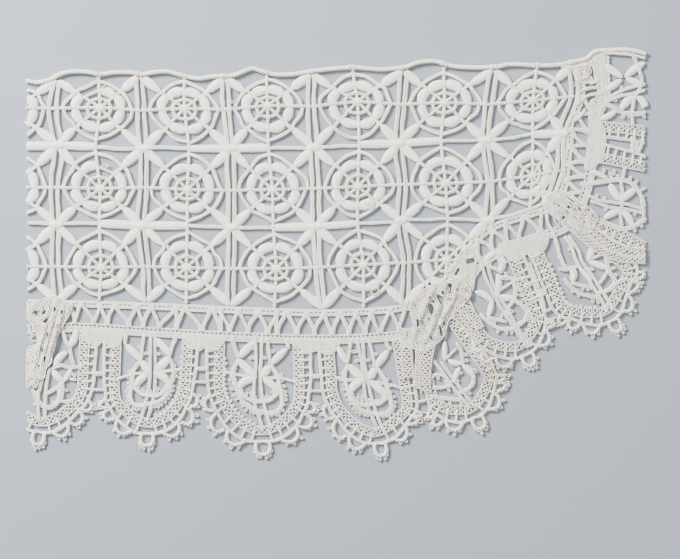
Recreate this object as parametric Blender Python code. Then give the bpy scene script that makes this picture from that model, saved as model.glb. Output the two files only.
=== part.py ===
"""Lace trim: a plaited net of wheels, sewn to a scalloped border, with a cord whipped along its heading.

Everything is charted in squares, as on a lace maker's pricking. Columns run right and rows run down.
The lace lies flat on the surface z = 0, right side up, and its centre is at x = y = 0.
"""

import math

import bmesh
import bpy
from mathutils import Vector

# Driving dimensions, in metres
LACE_LENGTH = 0.2228
CLOTH_THICKNESS = 0.0014
PLEAT_HEIGHT = 0.0034
HEADING_CORD_RADIUS = 0.0008
SEAM_GAP = 0.0003

# The pricking: the chart's reach in squares, and what one square measures
CUT_LEFT = 26.0
CUT_RIGHT = 645.0
CHART_MIDDLE_ROW = 252.5
SQUARE = LACE_LENGTH / (CUT_RIGHT - CUT_LEFT)
CHART_MIDDLE_COLUMN = (CUT_LEFT + CUT_RIGHT) / 2
HALF_SEAM = SEAM_GAP / SQUARE / 2

# The net. Uprights and lines of wheel hubs take turns, and each row gives one line's places from the
# heading down: heading, wheels 1, bar 1, wheels 2, bar 2, wheels 3, bar 3.
NET = (
    ("wheels 0", (13, 86), (12, 107), (14, 146), (12, 187), (13, 222), (12, 266), (13, 299)),
    ("upright A", (57, 84), (52, 108), (56, 145), (54, 187), (56, 224), (55, 266), (56, 300)),
    ("wheels 1", (98, 79), (100, 107), (95, 146), (100, 188), (99, 223), (101, 267), (99, 300)),
    ("upright B", (139, 79), (140, 110), (143, 148), (143, 187), (141, 225), (144, 266), (145, 301)),
    ("wheels 2", (184, 80), (186, 107), (189, 148), (187, 189), (187, 225), (186, 267), (186, 303)),
    ("upright C", (224, 81), (226, 109), (230, 148), (230, 190), (231, 227), (230, 268), (230, 305)),
    ("wheels 3", (266, 79), (267, 105), (268, 147), (272, 189), (273, 227), (276, 268), (274, 307)),
    ("upright D", (311, 77), (310, 106), (313, 147), (315, 188), (315, 226), (318, 267), (322, 308)),
    ("wheels 4", (352, 73), (357, 101), (359, 144), (357, 186), (357, 223), (363, 264), (363, 307)),
    ("upright E", (403, 74), (400, 104), (398, 143), (402, 184), (401, 220), (406, 262), (404, 304)),
    ("wheels 5", (443, 71), (444, 102), (440, 140), (445, 183), (447, 218), (444, 262), (444, 303)),
    ("upright F", (493, 73), (488, 104), (485, 140), (490, 181), (489, 219), (486, 262), (484, 303)),
    ("wheels 6", (536, 71), (530, 98), (532, 134), (527, 172), (529, 209), None, None),
    ("upright G", (572, 67), (573, 96), (561, 133), (559, 170), (547, 202), None, None),
)
WHEEL_LEVELS = (1, 3, 5)

# Widths of the bars' halves, one for each step from line to line: long leaves and plaits take turns.
BAR_WIDTHS = {
    0: (3, 3, 3, 3, 3, 3, 3, 3, 3, 3, 3, 3, 3),
    2: (9, 9, 5.5, 5.5, 8, 9, 5, 5, 9, 8, 4.5, 4.5, 9),
    4: (5, 5, 9, 9, 5, 5, 8.5, 7, 4.5, 4.5, 5, 5, 5),
    6: (3, 3, 3, 3, 3, 3, 3, 3, 3, 3, 3, 3, 3),
}
UPRIGHT_HALF_WIDTH = 5.6

# A compartment's quarter runs from its hub (0, 0) to its corner (1, 1): across to the upright, up to the bar.
# In bar_gap the rows on the bar's edge have None, which the bar's width fills in.
BAR_GAP = ((0.80, None), (0.08, None), (0.07, 0.86), (0.30, 0.72), (0.47, 0.57), (0.55, 0.57), (0.61, 0.76))
UPRIGHT_GAP = ((None, 0.90), (0.84, 0.76), (0.65, 0.47), (0.66, 0.26), (0.80, 0.08), (None, 0.05))

# The border: the seam that joins it to the net, and the upper edge of the tape its scallops hang from.
BORDER_STATIONS = (
    ((26, 300), (26, 325)),
    ((75, 301), (75, 323)),
    ((143, 303), (143, 327)),
    ((229, 307), (229, 332)),
    ((323, 310), (323, 335)),
    ((395, 306), (398, 331)),
    ((424, 298), (430, 321)),
    ((443, 278), (455, 293)),
    ((462, 251), (475, 263)),
    ((489, 226), (501, 246)),
    ((525, 213), (533, 234)),
    ((549, 204), (566, 221)),
    ((561, 187), (581, 192)),
    ((564, 165), (586, 170)),
    ((567, 140), (590, 150)),
    ((568, 120), (589, 132)),
    ((576, 104), (594, 112)),
    ((579, 88), (601, 92)),
    ((577, 66), (600, 70)),
    ((578, 58), (600, 56)),
)
# The zigzag's runs: where each starts and ends on the seam, and its number of turns. Between them the
# band is drawn together by the gathers.
ZIGZAG_RUNS = (
    ((84, 301), (407, 305), 19),
    ((464, 249), (545, 205), 5),
    ((562, 190), (576, 98), 7),
)

# The scallops: each one's middle line from its root on the tape to its tip, half its width near the tip, and
# the trail of cloth on either side, again from root to foot.
SCALLOPS = (
    {"root": (41, 327), "tip": (38, 447), "half": 45, "left": ((-12, 330), (-16, 392)), "right": ((100, 330), (98, 396))},
    {"root": (153, 328), "tip": (146, 448), "half": 50, "left": ((100, 330), (98, 396)), "right": ((203, 332), (200, 386))},
    {"root": (257, 331), "tip": (263, 457), "half": 56, "left": ((203, 332), (200, 386)), "right": ((314, 336), (316, 396))},
    {"root": (357, 334), "tip": (382, 458), "half": 46, "left": ((314, 336), (316, 396)), "right": ((412, 332), (424, 410))},
    {"root": (424, 324), "tip": (483, 430), "half": 46, "left": ((412, 332), (424, 410)), "right": ((452, 302), (503, 371))},
    {"root": (473, 260), "tip": (533, 367), "half": 46, "left": ((448, 292), (468, 340)), "right": ((522, 240), (551, 319))},
    {"root": (550, 224), "tip": (620, 333), "half": 43, "left": ((522, 240), (551, 319)), "right": ((580, 222), (648, 266))},
    {"root": (586, 197), "tip": (712, 214), "half": 50, "left": ((580, 222), (648, 266)), "right": ((592, 137), (652, 151))},
    {"root": (597, 97), "tip": (718, 80), "half": 50, "left": ((592, 137), (652, 151)), "right": ((598, 30), (650, 26))},
)
# The deepest point of the valley after each scallop.
VALLEYS = ((98, 396), (200, 386), (316, 396), (424, 410), (503, 371), (551, 319), (648, 266), (652, 151))
# The scallop's own chart: half its width at the trails, its length, and how far down the trails reach.
SCALLOP_HALF_WIDTH = 55.0
SCALLOP_LENGTH = 126.0
TRAIL_REACH = 58.0
FAN_START = 98.0

# The outline of a scallop's right half, from the trail's foot to the tip, with its loops.
SCALLOP_EDGE = (
    (52, 64), (47, 70), (51, 79), (52, 90), (46, 97), (38, 96), (38, 103),
    (33, 111), (25, 115), (19, 109), (9, 109.5), (8, 117), (6, 125), (0, 126),
)
# Sides that the next scallop's cloth hides: the point of the outline that each one starts at.
HIDDEN_SIDES = {(5, -1): 9, (5, 1): 3}
# The gaps of a scallop's right half.
SCALLOP_GAPS = {
    "outer upper slit": ((30, 7), (25, 9), (24.5, 19), (22.5, 27), (26, 38), (31.5, 40), (33.5, 30), (33, 14)),
    "outer lower slit": ((27, 44.5), (34.5, 46), (36, 58), (34, 68), (28, 73), (25.5, 68), (25, 60)),
    "inner diamond": ((4, 15), (8, 15), (15, 27), (7, 38), (4, 36)),
    "bottom window": ((24, 77), (21, 83), (13, 89.5), (4, 92.5), (4, 84.5), (12, 82), (18, 77)),
    "footing window": ((11, 6), (22, 6), (19, 16), (15, 18.5), (11, 13)),
    "inner window": ((16, 65), (18, 69), (12, 76), (5, 78.5), (5, 74), (12, 70)),
}
# Scallop sides, counted along the border, whose gaps lie under the gathers or past the cut ends.
GATHERED_SIDES = {(0, -1), (4, -1), (6, 1), (7, -1)}
LEAST_GAP_AREA = 26.0
LEAST_RIM = 1.9

# The gathers at the border's turns: where each one's folds spread from, the bearing of the first and the
# last fold in degrees (0 is right, 90 is down the chart), the number of folds, and their length.
GATHERS = (
    {"from": (56, 303), "first": 88, "last": 112, "folds": 3, "length": 62},
    {"from": (441, 292), "first": 84, "last": 132, "folds": 4, "length": 46},
    {"from": (553, 212), "first": 10, "last": 50, "folds": 4, "length": 48},
)
FOLD_WIDTH = 8.0

# The heading cord's route, chosen by hand along the top of the net.
HEADING_ROUTE = (
    (26, 80), (38, 82), (50, 79), (62, 73), (76, 71), (90, 72), (100, 74), (114, 72), (130, 72), (141, 74),
    (153, 72), (166, 71), (178, 74), (190, 77), (200, 78), (213, 76), (232, 75), (243, 71), (252, 68),
    (262, 71), (275, 74), (290, 74), (304, 72), (318, 70), (335, 68), (352, 67), (366, 68), (380, 69),
    (394, 68), (404, 67), (414, 63), (424, 61), (435, 61), (445, 64), (454, 66), (470, 67), (485, 67),
    (498, 66), (507, 64), (520, 64), (534, 65), (548, 63), (562, 61), (574, 58), (584, 54), (594, 50),
    (606, 48), (622, 48), (634, 50), (645, 53),
)
CORD_STEP = 7.0
CORD_CLEARANCE = (HEADING_CORD_RADIUS + SEAM_GAP) / SQUARE + 0.2


def place(point):
    """A point of the pricking as a point of the lace, in metres."""
    column, row = point
    return Vector(((column - CHART_MIDDLE_COLUMN) * SQUARE, (CHART_MIDDLE_ROW - row) * SQUARE, 0))


def mix(a, b, share):
    return tuple(p + (q - p) * share for p, q in zip(a, b))


def smooth_path(points, step):
    """Points about a step apart on the smooth curve through the given ones."""
    ends = [mix(points[0], points[1], -1), *points, mix(points[-1], points[-2], -1)]
    path = []
    for before, a, b, after in zip(ends, ends[1:], ends[2:], ends[3:]):
        count = max(1, round(math.dist(a, b) / step))
        for k in range(count):
            t = k / count
            weights = (
                (-t + 2 * t**2 - t**3) / 2,
                (2 - 5 * t**2 + 3 * t**3) / 2,
                (t + 4 * t**2 - 3 * t**3) / 2,
                (-(t**2) + t**3) / 2,
            )
            corners = (before, a, b, after)
            path.append(tuple(sum(w * p[i] for w, p in zip(weights, corners)) for i in range(len(a))))
    return [*path, tuple(points[-1])]


def beside(path, distance):
    """The path moved to its right-hand side on the chart, which is outwards on the border."""
    moved = []
    for k, point in enumerate(path):
        ahead, behind = path[min(k + 1, len(path) - 1)], path[max(k - 1, 0)]
        along = Vector((ahead[0] - behind[0], ahead[1] - behind[1])).normalized()
        moved.append((point[0] - along.y * distance, point[1] + along.x * distance))
    return moved


def clipped(polygon, inside, crossing):
    """The part of a polygon on one side of a straight cut."""
    kept = []
    for a, b in zip(polygon, [*polygon[1:], polygon[0]]):
        if inside(a):
            kept.append(a)
        if inside(a) != inside(b):
            kept.append(crossing(a, b))
    return kept


def cut_to_length(polygon, margin=0.0):
    """The polygon between the lace's two straight cut ends, less a margin."""
    low, high = CUT_LEFT + margin, CUT_RIGHT - margin
    for edge, inside in ((low, lambda p: p[0] >= low), (high, lambda p: p[0] <= high)):
        polygon = clipped(polygon, inside, lambda a, b, x=edge: mix(a, b, (x - a[0]) / (b[0] - a[0])))
        if not polygon:
            return []
    return polygon


def area(polygon):
    return abs(sum(a[0] * b[1] - b[0] * a[1] for a, b in zip(polygon, [*polygon[1:], polygon[0]]))) / 2


def in_quarter(hub, across, up, level, p, q):
    """A quarter's point (p, q) on the chart. across and up are -1 or 1, from the hub to the corner."""
    near = mix(NET[hub][1 + level], NET[hub + across][1 + level], p)
    far = mix(NET[hub][1 + level + up], NET[hub + across][1 + level + up], p)
    return mix(near, far, q)


def quarters():
    """Each quarter compartment that the net has: hub line, across, up and hub level."""
    for hub in range(0, len(NET), 2):
        for across in (-1, 1):
            for level in WHEEL_LEVELS:
                for up in (-1, 1):
                    if 0 <= hub + across < len(NET):
                        lines = NET[hub], NET[hub + across]
                        if all(line[1 + level] and line[1 + level + up] for line in lines):
                            yield hub, across, up, level


def net_gaps():
    """The two gaps of each quarter: against the bar, and against the upright."""
    for hub, across, up, level in quarters():
        middle, side = NET[hub][1 + level], NET[hub + across][1 + level]
        width = BAR_WIDTHS[level + up][min(hub, hub + across)]
        height = math.dist(middle, NET[hub][1 + level + up])
        p_edge = 1 - UPRIGHT_HALF_WIDTH / math.dist(middle, side)
        q_edge = 1 - (width / 2 + (width < 4) * 2.0) / height
        for outline in (BAR_GAP, UPRIGHT_GAP):
            polygon = []
            for p, q in outline:
                p = p_edge if p is None else min(p, p_edge - 0.03)
                q = q_edge if q is None else q
                polygon.append(in_quarter(hub, across, up, level, p, q))
            yield polygon


def reaches(a, b, point):
    """The distance from a point to the straight edge a-b."""
    length = math.dist(a, b) or 1
    share = ((point[0] - a[0]) * (b[0] - a[0]) + (point[1] - a[1]) * (b[1] - a[1])) / length**2
    return math.dist(mix(a, b, min(1, max(0, share))), point)


def lies_within(outline, polygon):
    """Whether a gap lies inside the outline with enough cloth left all round."""
    edges = list(zip(outline, [*outline[1:], outline[0]]))
    for x, y in polygon:
        crossings = 0
        for a, b in edges:
            if reaches(a, b, (x, y)) < LEAST_RIM:
                return False
            if (a[1] > y) != (b[1] > y) and x < a[0] + (b[0] - a[0]) * (y - a[1]) / (b[1] - a[1]):
                crossings += 1
        if crossings % 2 == 0:
            return False
    return True


def plate(name, outline, gaps, height):
    """A flat solid of the given outline with the gaps cut through it, standing on z = 0."""
    curve = bpy.data.curves.new(name, "CURVE")
    curve.dimensions = "2D"
    curve.fill_mode = "BOTH"
    curve.extrude = height / 2
    for polygon in (outline, *gaps):
        spline = curve.splines.new("POLY")
        spline.points.add(len(polygon) - 1)
        for corner, point in zip(spline.points, polygon):
            corner.co = (*place(point)[:2], 0, 1)
        spline.use_cyclic_u = True
    shape = bpy.data.objects.new(name, curve)
    shape.location.z = height / 2
    bpy.context.scene.collection.objects.link(shape)
    return made_mesh(shape)


def made_mesh(shape):
    """The same object as a welded mesh, with its place kept."""
    bpy.context.view_layer.update()
    graph = bpy.context.evaluated_depsgraph_get()
    mesh = bpy.data.meshes.new_from_object(shape.evaluated_get(graph))
    solid = bmesh.new()
    solid.from_mesh(mesh)
    bmesh.ops.remove_doubles(solid, verts=solid.verts, dist=1e-6)
    bmesh.ops.recalc_face_normals(solid, faces=solid.faces)
    solid.to_mesh(mesh)
    solid.free()
    name = shape.name
    solid_object = bpy.data.objects.new(name + " solid", mesh)
    solid_object.matrix_world = shape.matrix_world
    bpy.context.scene.collection.objects.link(solid_object)
    bpy.data.objects.remove(shape)
    solid_object.name = name
    return solid_object


def linen(name, colour, roughness):
    """Washed linen thread: off-white and matt."""
    material = bpy.data.materials.new(name)
    material.use_nodes = True
    shader = material.node_tree.nodes["Principled BSDF"]
    shader.inputs["Base Color"].default_value = (*colour, 1)
    shader.inputs["Roughness"].default_value = roughness
    shader.inputs["Metallic"].default_value = 0
    return material


def band_paths():
    """The seam and the tape's upper edge, with as many corners each."""
    both = smooth_path([(*inner, *outer) for inner, outer in BORDER_STATIONS], 14)
    return [corner[:2] for corner in both], [corner[2:] for corner in both]


def row_at(path, column):
    """The row where a path that runs right passes a column."""
    for a, b in zip(path, path[1:]):
        if column <= b[0]:
            return a[1] + (b[1] - a[1]) * (column - a[0]) / (b[0] - a[0])
    return path[-1][1]


def heading_edge(first, last, cloth_rows):
    """The cloth's upper edge between two columns: it keeps clear of the heading cord."""
    cord = smooth_path(HEADING_ROUTE, CORD_STEP)
    edge = []
    for k in range(round((last - first) / 9) + 1):
        column = first + (last - first) * k / round((last - first) / 9)
        edge.append((column, max(row_at(cloth_rows, column), row_at(cord, column) + CORD_CLEARANCE)))
    return edge


def make_net():
    """The ground: three rows of square compartments, each with a wheel of leaves and plaits."""
    seam, _ = band_paths()
    rows = [line[1] for line in NET]
    edge = heading_edge(CUT_LEFT, seam[-1][0] - HALF_SEAM, rows)
    inner = [point for point in beside(seam, -HALF_SEAM) if point[1] > edge[-1][1] + 4]
    outline = cut_to_length([*inner, *reversed(edge)])
    gaps = []
    for polygon in net_gaps():
        polygon = cut_to_length(polygon, 2.0)
        if len(polygon) > 2 and area(polygon) > LEAST_GAP_AREA and lies_within(outline, polygon):
            gaps.append(polygon)
    return plate("wheel_net", outline, gaps, CLOTH_THICKNESS)


def distance_to(path, point):
    """How far along a path its corner nearest to the point lies."""
    nearest = min(range(len(path)), key=lambda k: math.dist(path[k], point))
    return sum(math.dist(a, b) for a, b in zip(path[:nearest], path[1 : nearest + 1]))


def in_band(seam, tape, distance, share):
    """A point of the border's open band: share 0 on the seam and 1 on the tape's upper edge."""
    walked = 0.0
    for k in range(len(seam) - 1):
        step = math.dist(seam[k], seam[k + 1])
        if distance <= walked + step or k == len(seam) - 2:
            t = (distance - walked) / step
            return mix(mix(seam[k], seam[k + 1], t), mix(tape[k], tape[k + 1], t), share)
        walked += step


def zigzag_gaps(seam, tape):
    """The triangles that the zigzag plait leaves, wide side to the seam and to the tape in turn."""
    for run_start, run_end, turns in ZIGZAG_RUNS:
        start, end = distance_to(seam, run_start), distance_to(seam, run_end)
        pitch = (end - start) / turns
        for k in range(turns):
            for first, wide, narrow in ((start + k * pitch, 0.14, 0.66), (start + (k + 0.5) * pitch, 0.92, 0.38)):
                corners = (
                    (first + pitch * 0.14, wide),
                    (first + pitch * 0.86, wide),
                    (first + pitch * 0.57, narrow),
                    (first + pitch * 0.43, narrow),
                )
                yield [in_band(seam, tape, distance, share) for distance, share in corners]


def in_scallop(index, x, y):
    """A point of the scallop's own chart, x squares beside its middle line and y squares below its root."""
    scallop = SCALLOPS[index]
    root, tip, half = scallop["root"], scallop["tip"], scallop["half"]
    trail_root, trail_foot = scallop["right" if x > 0 else "left"]
    middle = mix(root, tip, y / SCALLOP_LENGTH)
    level = mix(root, tip, TRAIL_REACH / SCALLOP_LENGTH)
    axis = Vector((tip[0] - root[0], tip[1] - root[1])).normalized()
    hand = 1 if x > 0 else -1
    fan = (hand * axis.y * half, -hand * axis.x * half)
    at_root = (trail_root[0] - root[0], trail_root[1] - root[1])
    at_foot = (trail_foot[0] - level[0], trail_foot[1] - level[1])
    if y < TRAIL_REACH:
        side = mix(at_root, at_foot, y / TRAIL_REACH)
    else:
        side = mix(at_foot, fan, min(1, (y - TRAIL_REACH) / (FAN_START - TRAIL_REACH)))
    share = abs(x) / SCALLOP_HALF_WIDTH
    return (middle[0] + side[0] * share, middle[1] + side[1] * share)


def scallop_edge(index):
    """A scallop's outline from its left valley to its right one."""
    left = [in_scallop(index, -x, y) for x, y in SCALLOP_EDGE[HIDDEN_SIDES.get((index, -1), 0):]]
    right = [in_scallop(index, x, y) for x, y in SCALLOP_EDGE[HIDDEN_SIDES.get((index, 1), 0):-1]]
    return [*left, *reversed(right)]


def scallop_gaps():
    for name, outline in SCALLOP_GAPS.items():
        for index in range(len(SCALLOPS)):
            for side in (-1, 1):
                if (index, side) not in GATHERED_SIDES:
                    yield [in_scallop(index, side * x, y) for x, y in outline]


def make_fold(name, start, bearing, length):
    """One fold of a gather: a low ridge, narrow and high at its root, wide and low at its end."""
    along = Vector((math.cos(math.radians(bearing)), math.sin(math.radians(bearing))))
    across = Vector((-along.y, along.x))
    sections = ((0.0, 0.35, 0.75), (0.18, 0.6, 1.0), (0.55, 0.8, 0.85), (1.0, 0.45, 0.5))
    ridge = ((-0.5, 0.25), (-0.26, 0.84), (0.0, 1.0), (0.26, 0.84), (0.5, 0.25))
    solid = bmesh.new()
    rings = []
    for down, wide, high in sections:
        top = PLEAT_HEIGHT * high
        middle = Vector(start) + along * length * down
        ring = []
        for side, level in ridge:
            point = middle + across * side * FOLD_WIDTH * wide
            ring.append(solid.verts.new(place(point) + Vector((0, 0, top * level))))
        for side in (0.5, -0.5):
            point = middle + across * side * FOLD_WIDTH * wide
            ring.append(solid.verts.new(place(point) + Vector((0, 0, CLOTH_THICKNESS * 0.3))))
        rings.append(ring)
    edges = [[solid.edges.new((a, b)) for a, b in zip(ring, [*ring[1:], ring[0]])] for ring in rings]
    for first, second in zip(edges, edges[1:]):
        bmesh.ops.bridge_loops(solid, edges=[*first, *second])
    bmesh.ops.holes_fill(solid, edges=solid.edges, sides=0)
    bmesh.ops.recalc_face_normals(solid, faces=solid.faces)
    mesh = bpy.data.meshes.new(name)
    solid.to_mesh(mesh)
    solid.free()
    fold = bpy.data.objects.new(name, mesh)
    fold.hide_render = True
    fold.display_type = "WIRE"
    return fold


def make_folds(helpers):
    folds = []
    for g, gather in enumerate(GATHERS):
        for k in range(gather["folds"]):
            share = k / (gather["folds"] - 1)
            bearing = gather["first"] + (gather["last"] - gather["first"]) * share
            fold = make_fold(f"fold {g} {k}", gather["from"], bearing, gather["length"])
            helpers.objects.link(fold)
            folds.append(fold)
    return folds


def clear_of_folds(polygon):
    """Whether a gap stays clear of every fold of the gathers."""
    for gather in GATHERS:
        for point in polygon:
            reach = math.dist(point, gather["from"])
            down = math.radians((gather["first"] + gather["last"]) / 2)
            fan = math.radians(gather["last"] - gather["first"]) / 2
            turn = math.atan2(point[1] - gather["from"][1], point[0] - gather["from"][0]) - down
            room = (FOLD_WIDTH / 2 + 2) / max(reach, 1)
            if reach < 12 or (reach < gather["length"] + 3 and abs(turn) < fan + room):
                return False
    return True


def make_border(helpers):
    """The border: its sewn edge, zigzag band, tape and scallops, with the folds of its gathers."""
    seam, tape = band_paths()
    edge = heading_edge(seam[-1][0] + HALF_SEAM, CUT_RIGHT, [(570, 50), (650, 50)])
    outline = [point for point in beside(seam, HALF_SEAM) if point[1] > edge[0][1] + 4] + edge
    for index in reversed(range(len(SCALLOPS))):
        if index < len(VALLEYS):
            outline.append(VALLEYS[index])
        outline += reversed(scallop_edge(index))
    outline = cut_to_length(outline)
    gaps = []
    for polygon in (*zigzag_gaps(seam, tape), *scallop_gaps()):
        polygon = cut_to_length(polygon, 2.0)
        if len(polygon) > 2 and area(polygon) > LEAST_GAP_AREA and clear_of_folds(polygon):
            if lies_within(outline, polygon):
                gaps.append(polygon)
    border = plate("scalloped_border", outline, gaps, CLOTH_THICKNESS)
    for fold in make_folds(helpers):
        joint = border.modifiers.new("joined " + fold.name, "BOOLEAN")
        joint.operation = "UNION"
        joint.solver = "EXACT"
        joint.object = fold
    return made_mesh(border)


def make_heading_cord():
    """The cord along the heading: it bows away from the net between its stitches, as in use."""
    curve = bpy.data.curves.new("heading_cord", "CURVE")
    curve.dimensions = "3D"
    curve.bevel_depth = HEADING_CORD_RADIUS
    curve.bevel_resolution = 2
    curve.use_fill_caps = True
    route = smooth_path(HEADING_ROUTE, CORD_STEP)
    spline = curve.splines.new("POLY")
    spline.points.add(len(route) - 1)
    for point, chart in zip(spline.points, route):
        point.co = (*place(chart)[:2], HEADING_CORD_RADIUS, 1)
    cord = bpy.data.objects.new("heading_cord", curve)
    bpy.context.scene.collection.objects.link(cord)
    return cord


def main():
    for old in list(bpy.data.objects):
        bpy.data.objects.remove(old)
    lace = bpy.data.collections.new("lace_trim")
    helpers = bpy.data.collections.new("helpers")
    bpy.context.scene.collection.children.link(lace)
    bpy.context.scene.collection.children.link(helpers)
    net = make_net()
    border = make_border(helpers)
    cord = make_heading_cord()
    for piece, material in (
        (net, linen("net linen", (0.83, 0.80, 0.74), 0.85)),
        (border, linen("border linen", (0.80, 0.77, 0.70), 0.88)),
        (cord, linen("heading linen", (0.84, 0.81, 0.74), 0.82)),
    ):
        piece.data.materials.clear()
        piece.data.materials.append(material)
        bpy.context.scene.collection.objects.unlink(piece)
        lace.objects.link(piece)


main()
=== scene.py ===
import math

import bpy
import numpy as np
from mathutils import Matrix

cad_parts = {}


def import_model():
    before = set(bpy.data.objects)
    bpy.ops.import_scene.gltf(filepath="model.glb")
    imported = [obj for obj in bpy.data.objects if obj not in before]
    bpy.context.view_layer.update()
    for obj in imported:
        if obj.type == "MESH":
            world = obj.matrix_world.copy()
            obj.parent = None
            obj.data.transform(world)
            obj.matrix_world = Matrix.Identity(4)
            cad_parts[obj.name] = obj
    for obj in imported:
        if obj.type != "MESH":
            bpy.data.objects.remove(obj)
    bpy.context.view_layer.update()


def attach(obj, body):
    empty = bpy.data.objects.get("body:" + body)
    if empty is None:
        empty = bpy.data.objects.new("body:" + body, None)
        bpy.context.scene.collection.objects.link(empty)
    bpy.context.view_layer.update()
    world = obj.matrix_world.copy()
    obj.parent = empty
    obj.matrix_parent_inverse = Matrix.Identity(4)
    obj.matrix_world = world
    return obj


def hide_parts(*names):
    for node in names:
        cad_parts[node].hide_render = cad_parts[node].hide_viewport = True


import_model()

RNG = np.random.default_rng(11)
MM = 0.001

# The pricking is charted in squares, as in the CAD: columns run right, rows run down. Lengths are in
# millimetres until a piece is made.
CHART_WIDTH = 222.8
CUT_LEFT = 26.0
CUT_RIGHT = 645.0
SQUARE = CHART_WIDTH / (CUT_RIGHT - CUT_LEFT)
MIDDLE_COLUMN = (CUT_LEFT + CUT_RIGHT) / 2
MIDDLE_ROW = 252.5

# The net's lines from left to right, through the wheels or along the uprights between them: a name, the top
# at the heading, and then by turns where wheels and bars lie, down to the seam. None is past the seam.
NET = (
    ("wheels 0", (13, 86), (12, 107), (14, 146), (12, 187), (13, 222), (12, 266), (13, 299)),
    ("upright A", (57, 84), (52, 108), (58, 145), (54, 187), (56, 224), (55, 266), (57.5, 300)),
    ("wheels 1", (98, 79), (100, 107), (95, 146), (100, 188), (99, 223), (101, 267), (99, 300)),
    ("upright B", (139, 79), (140, 110), (143, 148), (143, 187), (141, 225), (145, 266), (146, 301)),
    ("wheels 2", (184, 80), (184, 108), (189, 148), (187, 189), (187, 225), (186, 267), (186, 303)),
    ("upright C", (224, 81), (226, 109), (230, 148), (230, 190), (231, 227), (230, 268), (230, 305)),
    ("wheels 3", (266, 79), (267, 105), (268, 147), (272, 189), (273, 227), (276, 268), (274, 307)),
    ("upright D", (311, 77), (310, 106), (313, 147), (315, 188), (315, 226), (318, 267), (322, 308)),
    ("wheels 4", (352, 73), (357, 101), (359, 144), (357, 186), (357, 223), (363, 264), (363, 307)),
    ("upright E", (403, 74), (400, 104), (398, 143), (402, 184), (400, 220), (406, 262), (404, 304)),
    ("wheels 5", (443, 71), (444, 102), (440, 140), (445, 183), (447, 218), (446, 259), (444, 303)),
    ("upright F", (493, 73), (488, 104), (485, 140), (490, 181), (487.5, 220), (486, 262), (484, 303)),
    ("wheels 6", (536, 71), (532, 100), (532, 134), (532, 175), (529, 209), None, None),
    ("upright G", (572, 67), (573, 96), (561, 133), (559, 170), (547, 202), None, None),
)
# The tops are drawn up to the heading cord by this many squares.
HEADING_LIFT = 4.0
NET = tuple((name, (top[0], top[1] - HEADING_LIFT), *rest) for name, top, *rest in NET)
WHEEL_LEVELS = (1, 3, 5)
# Widths of the halves of the bars on levels 2 and 4 in squares: woven leaves and plaits take turns.
BAR_WIDTHS = {
    2: (9, 9, 5.5, 5.5, 8, 9, 5, 5, 9, 8, 4.5, 4.5, 9),
    4: (5, 5, 9, 9, 5, 5, 8.5, 7, 4.5, 4.5, 5, 5, 5),
}

# The border's band: pairs of points, on the seam and on the tape's upper edge
BORDER_STATIONS = (
    ((26, 300), (26, 325)), ((75, 301), (75, 323)), ((143, 303), (143, 327)), ((229, 307), (229, 332)),
    ((323, 310), (323, 335)), ((395, 306), (398, 331)), ((424, 298), (430, 321)), ((443, 278), (455, 293)),
    ((462, 251), (475, 263)), ((489, 226), (501, 246)), ((525, 213), (533, 234)), ((549, 204), (566, 221)),
    ((561, 187), (581, 192)), ((564, 165), (586, 170)), ((567, 140), (590, 150)), ((568, 120), (589, 132)),
    ((576, 104), (594, 112)), ((579, 88), (601, 92)), ((577, 66), (600, 70)), ((578, 58), (600, 56)),
)
# Where the zigzag's arms meet, by turns at the seam and at the tape
ZIGZAG_RUNS = (
    ((28, 311), (36, 311), (45, 312), (54, 312)),
    (
        (68, 312), (75, 312), (83, 313), (93, 313), (99.5, 313), (109, 314), (116, 314), (127, 314),
        (136, 315), (144.5, 315), (154, 316), (162, 316), (172, 317), (179, 317), (188, 318), (199, 318),
        (207, 319), (216, 319), (223, 319), (233, 320), (240, 320), (249, 321), (257, 321), (264, 321),
        (272, 322), (279.5, 322), (287, 322), (296, 322), (304.5, 322), (312.5, 322), (321, 322),
        (329, 322), (338, 322), (347, 321), (357, 321), (364, 320), (373, 320), (380.5, 319), (391, 319),
        (397.5, 318), (406, 318),
    ),
    (
        (470, 261), (472, 249), (483, 249), (484, 237), (497, 238), (500, 228), (510, 232), (515, 222),
        (528, 226), (533, 216), (544, 221),
    ),
    (
        (574, 198), (568, 189), (571, 181), (570, 173), (576, 166), (573, 157), (582, 150), (574, 142),
        (583, 134), (575, 126), (584, 118), (578, 108), (588, 97),
    ),
)

# The scallops: root, tip, half width, and the start and foot of the trails to the left and the right
SCALLOPS = (
    ((50, 327), (37, 447), 45, ((-4, 330), (-20, 392)), ((100, 330), (98, 396))),
    ((153, 328), (146, 448), 50, ((100, 330), (98, 396)), ((203, 332), (200, 386))),
    ((257, 331), (263, 457), 56, ((203, 332), (200, 386)), ((314, 336), (316, 396))),
    ((357, 334), (382, 458), 46, ((314, 336), (316, 396)), ((412, 332), (424, 410))),
    ((424, 324), (483, 430), 46, ((412, 332), (424, 410)), ((452, 302), (503, 371))),
    ((473, 260), (533, 367), 46, ((448, 292), (468, 340)), ((522, 240), (551, 319))),
    ((550, 224), (620, 333), 43, ((522, 240), (551, 319)), ((580, 222), (648, 266))),
    ((586, 197), (712, 214), 50, ((580, 222), (648, 266)), ((592, 137), (652, 151))),
    ((597, 97), (716, 71), 50, ((592, 137), (652, 151)), ((598, 30), (650, 26))),
)
SCALLOP_HALF_WIDTH = 55.0
SCALLOP_LENGTH = 126.0
TRAIL_REACH = 58.0
FAN_START = 98.0

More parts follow.
